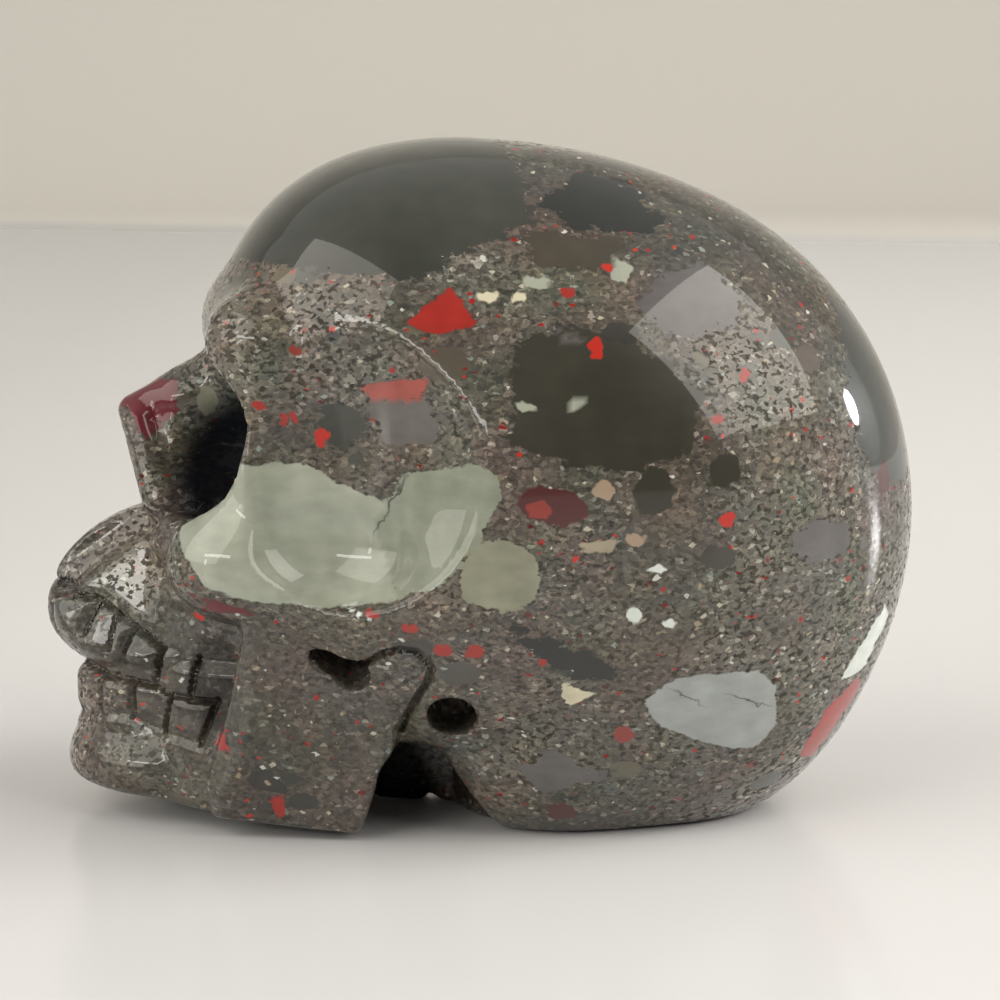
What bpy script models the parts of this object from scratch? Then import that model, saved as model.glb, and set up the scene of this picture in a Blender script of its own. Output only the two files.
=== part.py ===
"""Skull carving in polished bloodstone, one solid piece.

The face looks along -Y, the skull stands on its cut base at z = 0, and its left and
right sides are alike. Every mass and every hollow is a distance in design
millimetres, worked out by Geometry Nodes at each point of a grid, and the surface is
where the joined distance is nought. MM turns a design millimetre into metres. The
surface is then thinned, and a box below the floor cuts the base flat.
"""

import math

import bmesh
import bpy

# Size: the real length, the same length in the design, and the point of the design that
# becomes the origin, on the floor under the middle of the length
LENGTH = 0.075
DESIGN_LENGTH = 74.4
MM = LENGTH / DESIGN_LENGTH
ORIGIN = (0.0, 0.01, 0.1)
CUTTER_SIZE = 0.12

# Grid and mesh
VOXEL = 0.50
GRID_LOW = (-29.0, -41.0, -5.0)
GRID_HIGH = (29.0, 41.0, 61.0)
TRIANGLES = 9600
SURFACE_LEVEL = 10.0
MIDLINE_SOFTNESS = 0.8
TINY = 0.001

# Braincase: centre, then reach to the side, forward, back, up and down
VAULT_CENTRE = (0.0, -0.7, 26.3)
VAULT_REACH = (23.8, 21.5, 37.7, 30.95, 23.0)
PARIETAL_CENTRE = (0.0, 9.0, 29.0)
PARIETAL_RADII = (24.5, 26.5, 25.0)
OCCIPUT_CENTRE = (0.0, 13.0, 16.0)
OCCIPUT_RADII = (18.5, 20.6, 19.0)
BACK_CENTRE = (0.0, 12.0, 22.0)
BACK_RADII = (20.0, 24.5, 22.0)
BASE_CENTRE = (0.0, 7.0, 7.0)
BASE_RADII = (16.5, 14.0, 10.0)
FOREHEAD_CENTRE = (0.0, -5.5, 41.0)
FOREHEAD_RADII = (19.6, 16.8, 15.9)
BRAINCASE_BLEND = 3.0

# Face
CORE_CENTRE = (0.0, -7.5, 28.0)
CORE_RADII = (18.6, 13.0, 17.0)
BROW_INNER = (0.0, -19.1, 42.0)
BROW_OUTER = (12.4, -17.4, 41.0)
BROW_RADIUS = 4.4
RIM_TOP = (12.8, -17.2, 40.5)
RIM_BOTTOM = (14.2, -16.0, 31.0)
RIM_RADIUS = 3.6
CHEEK_CENTRE = (13.6, -19.4, 23.2)
CHEEK_RADII = (5.4, 5.9, 4.9)
LOWER_RIM_INNER = (7.0, -25.0, 24.0)
LOWER_RIM_RADIUS = 2.3
ARCH_FRONT = (15.6, -16.5, 21.4)
ARCH_BACK = (19.6, -2.0, 19.3)
ARCH_RADIUS = 2.9
FACE_BLEND = 3.6

# Nose
BRIDGE_CENTRE = (0.0, -19.0, 31.5)
BRIDGE_RADII = (3.6, 8.5, 9.0)
NOSE_ROOT = (0.0, -22.1, 36.7)
NOSE_TIP = (0.0, -29.5, 34.2)
NOSE_ROOT_RADIUS = 2.7
NOSE_TIP_RADIUS = 1.4
NOSE_EDGE_TOP = (1.2, -28.9, 33.2)
NOSE_EDGE_BOTTOM = (3.8, -26.6, 27.0)
NOSE_EDGE_RADII = (1.5, 1.9)
NOSE_BODY_TOP = (0.0, -24.8, 34.8)
NOSE_BODY_BOTTOM = (0.0, -23.0, 27.5)
NOSE_BODY_RADII = (3.0, 5.6)
NOSE_BLEND = 1.4
NOSE_OPENING_TOP = (0.0, -12.0, 32.4)
NOSE_OPENING_BOTTOM = (0.0, -12.0, 28.3)
NOSE_OPENING_RADII = (0.7, 2.3)
NOSE_OPENING_DEPTH = 0.4

# Eye sockets
SOCKET_CENTRE = (10.4, -23.4, 33.2)
SOCKET_RADII = (7.6, 9.4, 7.3)
SOCKET_TURN = math.radians(12.0)
SOCKET_BLEND = 1.2

# Upper jaw: centre, then reach to the side, forward, back, up and down
MAXILLA_CENTRE = (0.0, -24.0, 17.3)
MAXILLA_REACH = (11.0, 13.2, 12.0, 9.4, 6.8)
MAXILLA_SIDE_POINT = (7.2, -30.0, 18.0)
MAXILLA_SIDE_NORMAL = (0.944, -0.33, 0.0)
FLUTE_TOP = (4.3, -27.3, 28.0)
FLUTE_BOTTOM = (4.3, -36.3, 21.6)
FLUTE_RADIUS = 3.0
MAXILLA_EDGE = 0.6
PALATE_CENTRE = (0.0, -17.0, 17.5)
PALATE_REACH = (12.6, 13.0, 12.0, 11.0, 10.0)
UPPER_JAW_BLEND = 1.0
BITE_CENTRE = (0.0, -24.0, 12.5)
BITE_RADII = (9.2, 9.6, 5.0)

# Lower jaw
CHIN_CENTRE = (0.0, -25.3, 6.4)
CHIN_RADII = (8.8, 9.5)
CHIN_HALF_HEIGHT = 6.4
JAW_CENTRE = (0.0, -17.5, 6.6)
JAW_RADII = (12.7, 13.0)
JAW_HALF_HEIGHT = 8.0
JAW_ROUNDING = 1.6
RAMUS_CENTRE = (12.2, -13.3, 9.6)
RAMUS_HALF = (4.0, 7.0, 9.6)
RAMUS_ROUNDING = 1.2
RAMUS_EDGE_TOP = (14.6, -17.5, 13.0)
RAMUS_EDGE_BOTTOM = (13.3, -20.3, 4.6)
RAMUS_EDGE_RADIUS = 2.1
RAMUS_TURN = (math.radians(-13.0), math.radians(11.0), math.radians(-7.0))
LOWER_JAW_BLEND = 0.8
UNDERSIDE_START = (-10.9, 0.7)
UNDERSIDE_SLOPE = -0.09
UNDERSIDE_BLEND = 1.2
MOUTH_FLOOR_CENTRE = (0.0, -19.0, -0.5)
MOUTH_FLOOR_RADII = (7.5, 10.5, 4.0)

# Hollows
TEMPLE_CENTRE = (23.4, -8.6, 33.2)
TEMPLE_RADII = (5.2, 11.8, 12.8)
TEMPLE_TURN = math.radians(-25.0)
FOSSA_CENTRE = (20.9, -12.0, 25.4)
FOSSA_RADII = (4.4, 6.4, 4.6)
TEMPLE_BLEND = 4.0
TEMPLE_EDGE = 0.7
ARCH_GAP_TOP = (0.0, -5.2, 4.9)
ARCH_GAP_FRONT = (0.0, -6.9, -4.0)
ARCH_GAP_BACK = (0.0, 0.4, -3.6)
ARCH_GAP_RADII = (2.9, 3.9, 3.2)
NECK_CENTRE = (0.0, 6.2, 0.0)
NECK_RADII = (9.5, 8.4, 40.0)
NECK_WEB = 2.2
EAR_OUTER = (21.5, -2.2, 10.8)
EAR_INNER = (13.0, -1.8, 11.8)
EAR_RADIUS = 2.0
SLOT_FRONT = (17.0, -12.8, 16.3)
SLOT_BACK = (17.0, -9.9, 14.9)
SLOT_RADII = (0.7, 1.4)
SLOT_INWARD = (-0.95, 0.0, 0.31)
SLOT_REACH = 5.0

# Lines cut into the surface, drawn from the side as (y, z) points
LINE_WIDTH = 0.85
LINE_DEPTH = 1.2
LINE_REACH = 3.0
BRANCH_WIDTH = 0.9
BRANCH_DEPTH = 1.3
BRANCH_X = 17.3
BRANCH_LINE = ((-7.8, 16.4), (-5.2, 16.9), (-3.8, 15.8), (-4.2, 14.1), (-5.4, 12.0), (-6.5, 10.2))

# Teeth: gaps as (x, y, z) at the gum and at the bite, and the middle of the tooth rows
TOOTH_ROW_CENTRE = (0.0, -20.0)
UPPER_GAPS = (
    ((0.0, -37.0, 19.6), (0.0, -35.6, 13.6)),
    ((3.3, -36.0, 19.5), (3.2, -35.0, 13.8)),
    ((6.6, -33.3, 19.3), (6.0, -33.7, 14.6)),
    ((7.3, -31.6, 17.9), (6.6, -32.4, 13.9)),
    ((7.6, -29.3, 17.3), (7.4, -30.7, 13.6)),
    ((9.3, -26.5, 15.5), (9.2, -27.3, 13.2)),
    ((11.1, -23.2, 14.7), (11.1, -23.5, 11.8)),
)
LOWER_GAPS = (
    ((0.0, -35.0, 8.0), (0.0, -35.0, 12.4)),
    ((2.9, -34.4, 8.0), (2.9, -34.4, 12.4)),
    ((5.9, -32.1, 8.9), (5.8, -31.8, 12.4)),
    ((8.2, -29.5, 8.5), (8.1, -29.3, 12.0)),
    ((10.0, -26.4, 8.2), (10.1, -26.2, 11.2)),
    ((12.1, -23.0, 7.6), (11.9, -22.1, 11.0)),
)
GUM_LINE = (
    (0.0, -36.4, 20.2), (3.4, -35.8, 19.8), (6.6, -33.2, 19.4), (7.2, -31.4, 18.1),
    (7.6, -29.4, 17.1), (8.4, -28.3, 16.5), (9.3, -26.5, 15.5),
)
BITE_LINE = (
    (0.0, -35.0, 12.8), (5.2, -33.4, 12.9), (8.1, -29.4, 12.1),
    (10.1, -25.9, 11.3), (11.5, -23.9, 11.1), (11.9, -21.7, 11.0),
)

STONE_COLOUR = (0.105, 0.098, 0.088, 1.0)
STONE_ROUGHNESS = 0.12


class Field:
    """A number or a vector at every point of space, held as a node's socket."""

    def __init__(self, tree, socket):
        """Hold an output socket of the node tree."""
        self.tree = tree
        self.socket = socket

    def _node(self, kind, operation, values, output=0):
        """Add a node that works on the values and return its output."""
        node = self.tree.nodes.new(kind)
        node.operation = operation
        for place, value in enumerate(values):
            if isinstance(value, Field):
                self.tree.links.new(value.socket, node.inputs[place])
            else:
                node.inputs[place].default_value = value
        return Field(self.tree, node.outputs[output])

    def math(self, operation, *values):
        """Return a scalar operation on this value and the others."""
        return self._node("ShaderNodeMath", operation, (self, *values))

    def vector(self, operation, *values):
        """Return a vector operation on this value and the others."""
        return self._node("ShaderNodeVectorMath", operation, (self, *values))

    def length(self):
        """Return the vector's length."""
        return self._node("ShaderNodeVectorMath", "LENGTH", (self,), output=1)

    def dot(self, other):
        """Return the dot product with another vector."""
        return self._node("ShaderNodeVectorMath", "DOT_PRODUCT", (self, other), output=1)

    def turned(self, turn):
        """Return the vector turned backwards by XYZ angles, into a turned form's own frame."""
        node = self.tree.nodes.new("ShaderNodeVectorRotate")
        node.rotation_type = "EULER_XYZ"
        node.invert = True
        self.tree.links.new(self.socket, node.inputs["Vector"])
        node.inputs["Rotation"].default_value = turn
        return Field(self.tree, node.outputs[0])

    def parts(self):
        """Return the vector's three components."""
        node = self.tree.nodes.new("ShaderNodeSeparateXYZ")
        self.tree.links.new(self.socket, node.inputs[0])
        return [Field(self.tree, output) for output in node.outputs]

    def __add__(self, other):
        """Return the sum with another scalar."""
        return self.math("ADD", other)

    def __sub__(self, other):
        """Return this scalar less another."""
        return self.math("SUBTRACT", other)

    def __mul__(self, other):
        """Return the product with another scalar."""
        return self.math("MULTIPLY", other)

    def __truediv__(self, other):
        """Return this scalar divided by another."""
        return self.math("DIVIDE", other)

    def __neg__(self):
        """Return the scalar with its sign changed."""
        return self.math("MULTIPLY", -1.0)


def vector_of(x, y, z):
    """Join three fields into a vector."""
    node = x.tree.nodes.new("ShaderNodeCombineXYZ")
    for place, value in enumerate((x, y, z)):
        x.tree.links.new(value.socket, node.inputs[place])
    return Field(x.tree, node.outputs[0])


def scaled_distance(offset, radii_vector, middle_radius):
    """Distance to an ellipsoid from the offset to its centre; the radii may be a field."""
    once = offset.vector("DIVIDE", radii_vector)
    size = once.length()
    slope = once.vector("DIVIDE", radii_vector).length()
    return (size - 1.0) * (size + TINY) / (slope + TINY / middle_radius)


def ball(point, centre, radii, turn=None):
    """Distance to an ellipsoid."""
    offset = point.vector("SUBTRACT", centre)
    if turn is not None:
        offset = offset.turned(turn)
    return scaled_distance(offset, radii, sum(radii) / 3.0)


def egg(point, centre, reach):
    """Distance to an ellipsoid whose reach differs forward and back, up and down."""
    side, forward, back, up, down = reach
    offset = point.vector("SUBTRACT", centre)
    x, y, z = offset.parts()
    is_back = y.math("GREATER_THAN", 0.0)
    is_up = z.math("GREATER_THAN", 0.0)
    radii = vector_of(x * 0.0 + side, is_back * (back - forward) + forward, is_up * (up - down) + down)
    return scaled_distance(offset, radii, side)


def rod(point, start, end, start_radius, end_radius=None):
    """Distance to a round rod with ball ends, which may taper."""
    along = [b - a for a, b in zip(start, end)]
    span = sum(value * value for value in along)
    offset = point.vector("SUBTRACT", start)
    share = (offset.dot(along) / span).math("MAXIMUM", 0.0).math("MINIMUM", 1.0)
    foot = share_of(along, share)
    gap = offset.vector("SUBTRACT", foot).length()
    if end_radius is None:
        return gap - start_radius
    return gap - (share * (end_radius - start_radius) + start_radius)


def share_of(along, share):
    """Return the fixed vector times a scalar field."""
    node = share.tree.nodes.new("ShaderNodeVectorMath")
    node.operation = "SCALE"
    node.inputs[0].default_value = along
    share.tree.links.new(share.socket, node.inputs["Scale"])
    return Field(share.tree, node.outputs[0])


def block(point, centre, half, rounding, turn=None):
    """Distance to a box with rounded edges."""
    offset = point.vector("SUBTRACT", centre)
    if turn is not None:
        offset = offset.turned(turn)
    inner = [value - rounding for value in half]
    beyond = offset.vector("ABSOLUTE").vector("SUBTRACT", inner)
    x, y, z = beyond.parts()
    outside = beyond.vector("MAXIMUM", (0.0, 0.0, 0.0)).length()
    inside = x.math("MAXIMUM", y).math("MAXIMUM", z).math("MINIMUM", 0.0)
    return outside + inside - rounding


def joined(first, *others, blend):
    """Join masses with a soft seam of the given width."""
    result = first
    for other in others:
        result = result.math("SMOOTH_MIN", other, blend)
    return result


def hollowed(mass, *hollows, blend):
    """Take hollows out of a mass, with a rounded edge."""
    result = mass
    for hollow in hollows:
        result = result.math("SMOOTH_MAX", -hollow, blend)
    return result


def mirrored(point):
    """Fold space at the middle plane, softly, so that forms built at +X appear on both sides."""
    x, y, z = point.parts()
    soft_x = (x * x + MIDLINE_SOFTNESS ** 2).math("SQRT") - MIDLINE_SOFTNESS
    return vector_of(soft_x, y, z)


def drum(point, centre, plan_radii, half_height, rounding):
    """Distance to an upright oval drum with rounded rims."""
    offset = point.vector("SUBTRACT", centre)
    flat = offset.vector("MULTIPLY", (1.0, 1.0, 0.0))
    around = scaled_distance(flat, (*plan_radii, 1.0), sum(plan_radii) / 2.0) + rounding
    above = offset.parts()[2].math("ABSOLUTE") - (half_height - rounding)
    outside = vector_of(around.math("MAXIMUM", 0.0), above.math("MAXIMUM", 0.0), around * 0.0).length()
    inside = around.math("MAXIMUM", above).math("MINIMUM", 0.0)
    return outside + inside - rounding


def braincase(side):
    """The vault with its parietal bulge, the back of the head and the forehead."""
    return joined(
        egg(side, VAULT_CENTRE, VAULT_REACH),
        ball(side, PARIETAL_CENTRE, PARIETAL_RADII),
        ball(side, OCCIPUT_CENTRE, OCCIPUT_RADII),
        ball(side, BACK_CENTRE, BACK_RADII),
        ball(side, BASE_CENTRE, BASE_RADII),
        ball(side, FOREHEAD_CENTRE, FOREHEAD_RADII),
        blend=BRAINCASE_BLEND,
    )


def face(side):
    """Brow, outer rims of the sockets, cheekbones and the arches behind them."""
    return joined(
        ball(side, CORE_CENTRE, CORE_RADII),
        rod(side, BROW_INNER, BROW_OUTER, BROW_RADIUS),
        rod(side, RIM_TOP, RIM_BOTTOM, RIM_RADIUS),
        rod(side, RIM_BOTTOM, CHEEK_CENTRE, RIM_RADIUS),
        ball(side, CHEEK_CENTRE, CHEEK_RADII),
        rod(side, CHEEK_CENTRE, LOWER_RIM_INNER, LOWER_RIM_RADIUS),
        rod(side, ARCH_FRONT, ARCH_BACK, ARCH_RADIUS),
        blend=FACE_BLEND,
    )


def nose(side):
    """Bridge, tip and edges of the nose."""
    return joined(
        ball(side, BRIDGE_CENTRE, BRIDGE_RADII),
        rod(side, NOSE_ROOT, NOSE_TIP, NOSE_ROOT_RADIUS, NOSE_TIP_RADIUS),
        rod(side, NOSE_EDGE_TOP, NOSE_EDGE_BOTTOM, *NOSE_EDGE_RADII),
        rod(side, NOSE_BODY_TOP, NOSE_BODY_BOTTOM, *NOSE_BODY_RADII),
        blend=NOSE_BLEND,
    )


def nose_opening(side):
    """The drop-shaped opening at the front of the nose."""
    shallow = side.vector("MULTIPLY", (1.0, NOSE_OPENING_DEPTH, 1.0))
    return rod(shallow, NOSE_OPENING_TOP, NOSE_OPENING_BOTTOM, *NOSE_OPENING_RADII)


def upper_jaw(side):
    """The upper jaw with its flat sides, a flute above each front tooth row, and the mass behind the bite."""
    beyond = side.vector("SUBTRACT", MAXILLA_SIDE_POINT).dot(MAXILLA_SIDE_NORMAL)
    flute = rod(side, FLUTE_TOP, FLUTE_BOTTOM, FLUTE_RADIUS)
    maxilla = hollowed(egg(side, MAXILLA_CENTRE, MAXILLA_REACH), -beyond, flute, blend=MAXILLA_EDGE)
    return joined(
        maxilla,
        egg(side, PALATE_CENTRE, PALATE_REACH),
        ball(side, BITE_CENTRE, BITE_RADII),
        blend=UPPER_JAW_BLEND,
    )


def lower_jaw(side):
    """Chin, jaw body and the flat branch that rises at each side, cut off by the sloping underside."""
    jaw = joined(
        drum(side, CHIN_CENTRE, CHIN_RADII, CHIN_HALF_HEIGHT, JAW_ROUNDING),
        drum(side, JAW_CENTRE, JAW_RADII, JAW_HALF_HEIGHT, JAW_ROUNDING),
        block(side, RAMUS_CENTRE, RAMUS_HALF, RAMUS_ROUNDING, RAMUS_TURN),
        rod(side, RAMUS_EDGE_TOP, RAMUS_EDGE_BOTTOM, RAMUS_EDGE_RADIUS),
        blend=LOWER_JAW_BLEND,
    )
    x, y, z = side.parts()
    start_y, start_z = UNDERSIDE_START
    underside = z - start_z - (y - start_y) * UNDERSIDE_SLOPE
    mouth_floor = ball(side, MOUTH_FLOOR_CENTRE, MOUTH_FLOOR_RADII)
    return hollowed(jaw, underside, mouth_floor, blend=UNDERSIDE_BLEND)


def neck_gap(side):
    """The arched gap between jaw and braincase, stopped at the neck and at a web on the middle plane."""
    flat = side.vector("MULTIPLY", (0.0, 1.0, 1.0))
    top, front, back = ARCH_GAP_RADII
    arch = joined(
        rod(flat, ARCH_GAP_TOP, ARCH_GAP_FRONT, top, front),
        rod(flat, ARCH_GAP_TOP, ARCH_GAP_BACK, top, back),
        blend=0.6,
    )
    neck = ball(side, NECK_CENTRE, NECK_RADII)
    web = side.parts()[0] - NECK_WEB
    return hollowed(arch, neck, web, blend=1.0)


def flattened(point, start, inward, reach):
    """Bring the point level with the start where it lies within the reach in front of it or behind it."""
    depth = point.vector("SUBTRACT", start).dot(inward).math("MAXIMUM", -reach).math("MINIMUM", reach)
    return point.vector("SUBTRACT", share_of(inward, depth))


def cheek_slot(side):
    """The burr-cut slot under the cheek arch, running upwards into the stone."""
    return rod(flattened(side, SLOT_FRONT, SLOT_INWARD, SLOT_REACH), SLOT_FRONT, SLOT_BACK, *SLOT_RADII)


def line_mark(point, start, end, inward, width):
    """A mark that is 1 on a straight line and fades to 0 at its width, a little above and below it too."""
    flat = flattened(point, start, inward, LINE_REACH)
    return (-(rod(flat, start, end, 0.0) / width) + 1.0).math("MAXIMUM", 0.0)


def tooth_inward(place):
    """The level direction from a point on the teeth to the middle of the tooth rows."""
    x, y = place[0], place[1]
    centre_x, centre_y = TOOTH_ROW_CENTRE
    away = math.hypot(centre_x - x, centre_y - y)
    return ((centre_x - x) / away, (centre_y - y) / away, 0.0)


def deepest(marks):
    """Join marks, keeping the strongest at each point."""
    result = marks[0]
    for mark in marks[1:]:
        result = result.math("MAXIMUM", mark)
    return result


def tooth_marks(side):
    """The gaps between the teeth, the gum line and the bite."""
    strokes = [*UPPER_GAPS, *LOWER_GAPS, *zip(GUM_LINE, GUM_LINE[1:]), *zip(BITE_LINE, BITE_LINE[1:])]
    return deepest([line_mark(side, start, end, tooth_inward(start), LINE_WIDTH) for start, end in strokes])


def branch_mark(side):
    """The line that sets the jaw's rising branch off from the braincase."""
    points = [(BRANCH_X, y, z) for y, z in BRANCH_LINE]
    inward = (-1.0, 0.0, 0.0)
    return deepest([line_mark(side, start, end, inward, BRANCH_WIDTH) for start, end in zip(points, points[1:])])


def temple(side):
    """The scoop at the temple, which deepens behind the cheekbone."""
    return joined(
        ball(side, TEMPLE_CENTRE, TEMPLE_RADII, (0.0, 0.0, TEMPLE_TURN)),
        ball(side, FOSSA_CENTRE, FOSSA_RADII),
        blend=TEMPLE_BLEND,
    )


def skull(point):
    """Distance from the point to the skull's surface."""
    side = mirrored(point)
    solid = joined(braincase(side), face(side), blend=3.0)
    solid = hollowed(solid, temple(side), blend=TEMPLE_EDGE)
    solid = joined(solid, lower_jaw(side), upper_jaw(side), nose(side), blend=1.4)
    solid = hollowed(
        solid,
        ball(side, SOCKET_CENTRE, SOCKET_RADII, (0.0, 0.0, SOCKET_TURN)),
        blend=SOCKET_BLEND,
    )
    ear = rod(side, EAR_OUTER, EAR_INNER, EAR_RADIUS)
    solid = hollowed(solid, nose_opening(side), cheek_slot(side), ear, blend=0.5)
    solid = hollowed(solid, neck_gap(side), blend=1.4)
    solid = solid + tooth_marks(side) * LINE_DEPTH + branch_mark(side) * BRANCH_DEPTH
    floor = point.parts()[2]
    return hollowed(solid, floor, blend=1.0)


def form_group(distance_of):
    """Build the node group that turns a distance into a closed surface."""
    tree = bpy.data.node_groups.new("skull form", "GeometryNodeTree")
    tree.interface.new_socket("Geometry", in_out="OUTPUT", socket_type="NodeSocketGeometry")
    position = Field(tree, tree.nodes.new("GeometryNodeInputPosition").outputs[0])
    distance = distance_of(position.vector("DIVIDE", (MM, MM, MM)).vector("ADD", ORIGIN))
    cube = tree.nodes.new("GeometryNodeVolumeCube")
    cube.inputs["Min"].default_value = [value * MM for value in GRID_LOW]
    cube.inputs["Max"].default_value = [value * MM for value in GRID_HIGH]
    for axis, low, high in zip("XYZ", GRID_LOW, GRID_HIGH):
        cube.inputs[f"Resolution {axis}"].default_value = round((high - low) / VOXEL)
    tree.links.new((-distance + SURFACE_LEVEL).socket, cube.inputs["Density"])
    surface = tree.nodes.new("GeometryNodeVolumeToMesh")
    surface.inputs["Threshold"].default_value = SURFACE_LEVEL
    tree.links.new(cube.outputs[0], surface.inputs["Volume"])
    output = tree.nodes.new("NodeGroupOutput")
    tree.links.new(surface.outputs[0], output.inputs[0])
    return tree


def stone():
    """The dark, glossy stone."""
    material = bpy.data.materials.new("bloodstone")
    material.use_nodes = True
    shader = material.node_tree.nodes["Principled BSDF"]
    shader.inputs["Base Color"].default_value = STONE_COLOUR
    shader.inputs["Roughness"].default_value = STONE_ROUGHNESS
    shader.inputs["Metallic"].default_value = 0.0
    return material


def thin(body):
    """Thin the surface to the wanted number of triangles, alike on both sides."""
    surface = body.evaluated_get(bpy.context.evaluated_depsgraph_get()).data
    triangles = sum(len(face.vertices) - 2 for face in surface.polygons)
    modifier = body.modifiers.new("thin", "DECIMATE")
    modifier.ratio = TRIANGLES / triangles
    modifier.use_symmetry = True
    modifier.symmetry_axis = "X"


def floor_cutter():
    """Build the box whose top is the floor."""
    shape = bmesh.new()
    bmesh.ops.create_cube(shape, size=CUTTER_SIZE)
    bmesh.ops.translate(shape, verts=shape.verts, vec=(0.0, 0.0, -CUTTER_SIZE / 2.0))
    mesh = bpy.data.meshes.new("floor_cutter")
    shape.to_mesh(mesh)
    shape.free()
    cutter = bpy.data.objects.new("floor_cutter", mesh)
    cutter.hide_render = True
    cutter.display_type = "WIRE"
    return cutter


def main():
    """Model the skull."""
    for thing in list(bpy.data.objects):
        bpy.data.objects.remove(thing)
    parts = bpy.data.collections.new("bloodstone_skull")
    cutters = bpy.data.collections.new("cutters")
    bpy.context.scene.collection.children.link(parts)
    bpy.context.scene.collection.children.link(cutters)
    cutter = floor_cutter()
    cutters.objects.link(cutter)
    mesh = bpy.data.meshes.new("skull")
    mesh.materials.append(stone())
    body = bpy.data.objects.new("skull", mesh)
    parts.objects.link(body)
    form = body.modifiers.new("form", "NODES")
    form.node_group = form_group(skull)
    thin(body)
    base = body.modifiers.new("flat base", "BOOLEAN")
    base.operation = "DIFFERENCE"
    base.solver = "EXACT"
    base.object = cutter


main()
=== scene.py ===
"""Looks of a small skull carved in African bloodstone.

The skull is one polished piece of brecciated stone. Its form is the same sculpture that
the part has, built again with a finer surface, and the stone's fragments run through
the whole of it as a solid pattern. Lengths in the classes below are design millimetres
unless they say otherwise: the face looks along -Y and z = 0 is the floor.
"""

from __future__ import annotations

import logging
import math
from dataclasses import dataclass
from enum import Enum
from typing import Callable, Sequence, Union

import bmesh
import bpy
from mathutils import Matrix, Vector

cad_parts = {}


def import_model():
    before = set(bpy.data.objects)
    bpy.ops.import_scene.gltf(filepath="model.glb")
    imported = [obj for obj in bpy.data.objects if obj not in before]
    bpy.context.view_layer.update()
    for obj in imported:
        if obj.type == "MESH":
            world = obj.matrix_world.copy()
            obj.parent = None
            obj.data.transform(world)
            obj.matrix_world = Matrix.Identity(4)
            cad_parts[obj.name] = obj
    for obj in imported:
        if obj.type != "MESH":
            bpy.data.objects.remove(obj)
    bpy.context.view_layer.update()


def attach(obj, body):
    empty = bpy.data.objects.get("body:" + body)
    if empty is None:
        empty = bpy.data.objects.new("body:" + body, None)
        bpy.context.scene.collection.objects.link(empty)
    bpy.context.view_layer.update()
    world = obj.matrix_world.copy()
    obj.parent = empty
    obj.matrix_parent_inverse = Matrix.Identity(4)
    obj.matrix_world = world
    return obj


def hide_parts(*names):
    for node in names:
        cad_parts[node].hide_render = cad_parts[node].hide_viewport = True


LOG = logging.getLogger("bloodstone_skull")

Point = tuple[float, float, float]
Corner = tuple[float, float]
Colour = tuple[float, float, float]
Ramp = tuple[tuple[float, Colour], ...]
Operand = Union["Value", float, tuple]

# Metres in a design millimetre: the skull is drawn 74.4 long, and is 75 mm long.
MM = 0.075 / 74.4
# The frame's origin in design millimetres.
ORIGIN: Point = (0.0, 0.01, 0.1)
# The mean of a noise in each channel.
HALF: Point = (0.5, 0.5, 0.5)


def srgb(red: int, green: int, blue: int) -> Colour:
    """Turn a display colour of 0 to 255 into a linear one."""
    shares = (red / 255.0, green / 255.0, blue / 255.0)
    return tuple(c / 12.92 if c <= 0.04045 else ((c + 0.055) / 1.055) ** 2.4 for c in shares)


class Graph:
    """A node tree that takes new nodes."""

    def __init__(self, tree: bpy.types.NodeTree) -> None:
        """Hold the tree that the nodes go in."""
        self.tree = tree

    def node(
        self, kind: str, settings: dict | None = None, inputs: dict | None = None, output: int | str = 0
    ) -> Value:
        """Add a node.

        Args:
            kind: The node's type.
            settings: The node's own properties, set first. "stops" are a ramp's (place, colour) pairs.
            inputs: Values or links of its sockets, by name or number.
            output: The output that the result reads.

        Returns:
            The node's output.
        """
        node = self.tree.nodes.new(kind)
        for name, value in (settings or {}).items():
            if name == "stops":
                self._set_stops(node.color_ramp, value)
            else:
                setattr(node, name, value)
        for name, value in (inputs or {}).items():
            self.feed(node.inputs[name], value)
        return Value(self, node.outputs[output])

    def feed(self, socket: bpy.types.NodeSocket, value: Operand) -> None:
        """Link a value to an input socket, or set the socket to a constant.

        Args:
            socket: The input socket.
            value: A value, or a number, vector or colour.
        """
        if isinstance(value, Value):
            self.tree.links.new(value.socket, socket)
        elif socket.type == "RGBA":
            socket.default_value = (*value, 1.0)
        elif socket.type == "VECTOR" and isinstance(value, float):
            socket.default_value = (value,) * 3
        else:
            socket.default_value = value

    @staticmethod
    def _set_stops(ramp: bpy.types.ColorRamp, stops: Ramp) -> None:
        """Give a colour ramp its stops.

        Args:
            ramp: The colour ramp.
            stops: Place and linear colour of each stop.
        """
        ramp.interpolation = "CONSTANT"
        while len(ramp.elements) < len(stops):
            ramp.elements.new(1.0)
        for element, (place, colour) in zip(ramp.elements, stops):
            element.position = place
            element.color = (*colour, 1.0)

    def mix(self, first: Operand, second: Operand, share: Operand) -> Value:
        """Return a first colour with a share of a second."""
        return self.node("ShaderNodeMix", {"data_type": "RGBA"}, {"Factor": share, 6: first, 7: second}, 2)

    def noise(self, place: Value, size: float, detail: float, output: str = "Fac") -> Value:
        """Return a soft noise whose lumps have the given size."""
        inputs = {"Vector": place, "Scale": 1.0 / size, "Detail": detail}
        return self.node("ShaderNodeTexNoise", None, inputs, output)

    def kept(self, name: str, output: str) -> Value:
        """Return what the mesh keeps at its vertices under a name."""
        return self.node("ShaderNodeAttribute", {"attribute_name": name}, None, output)


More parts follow.
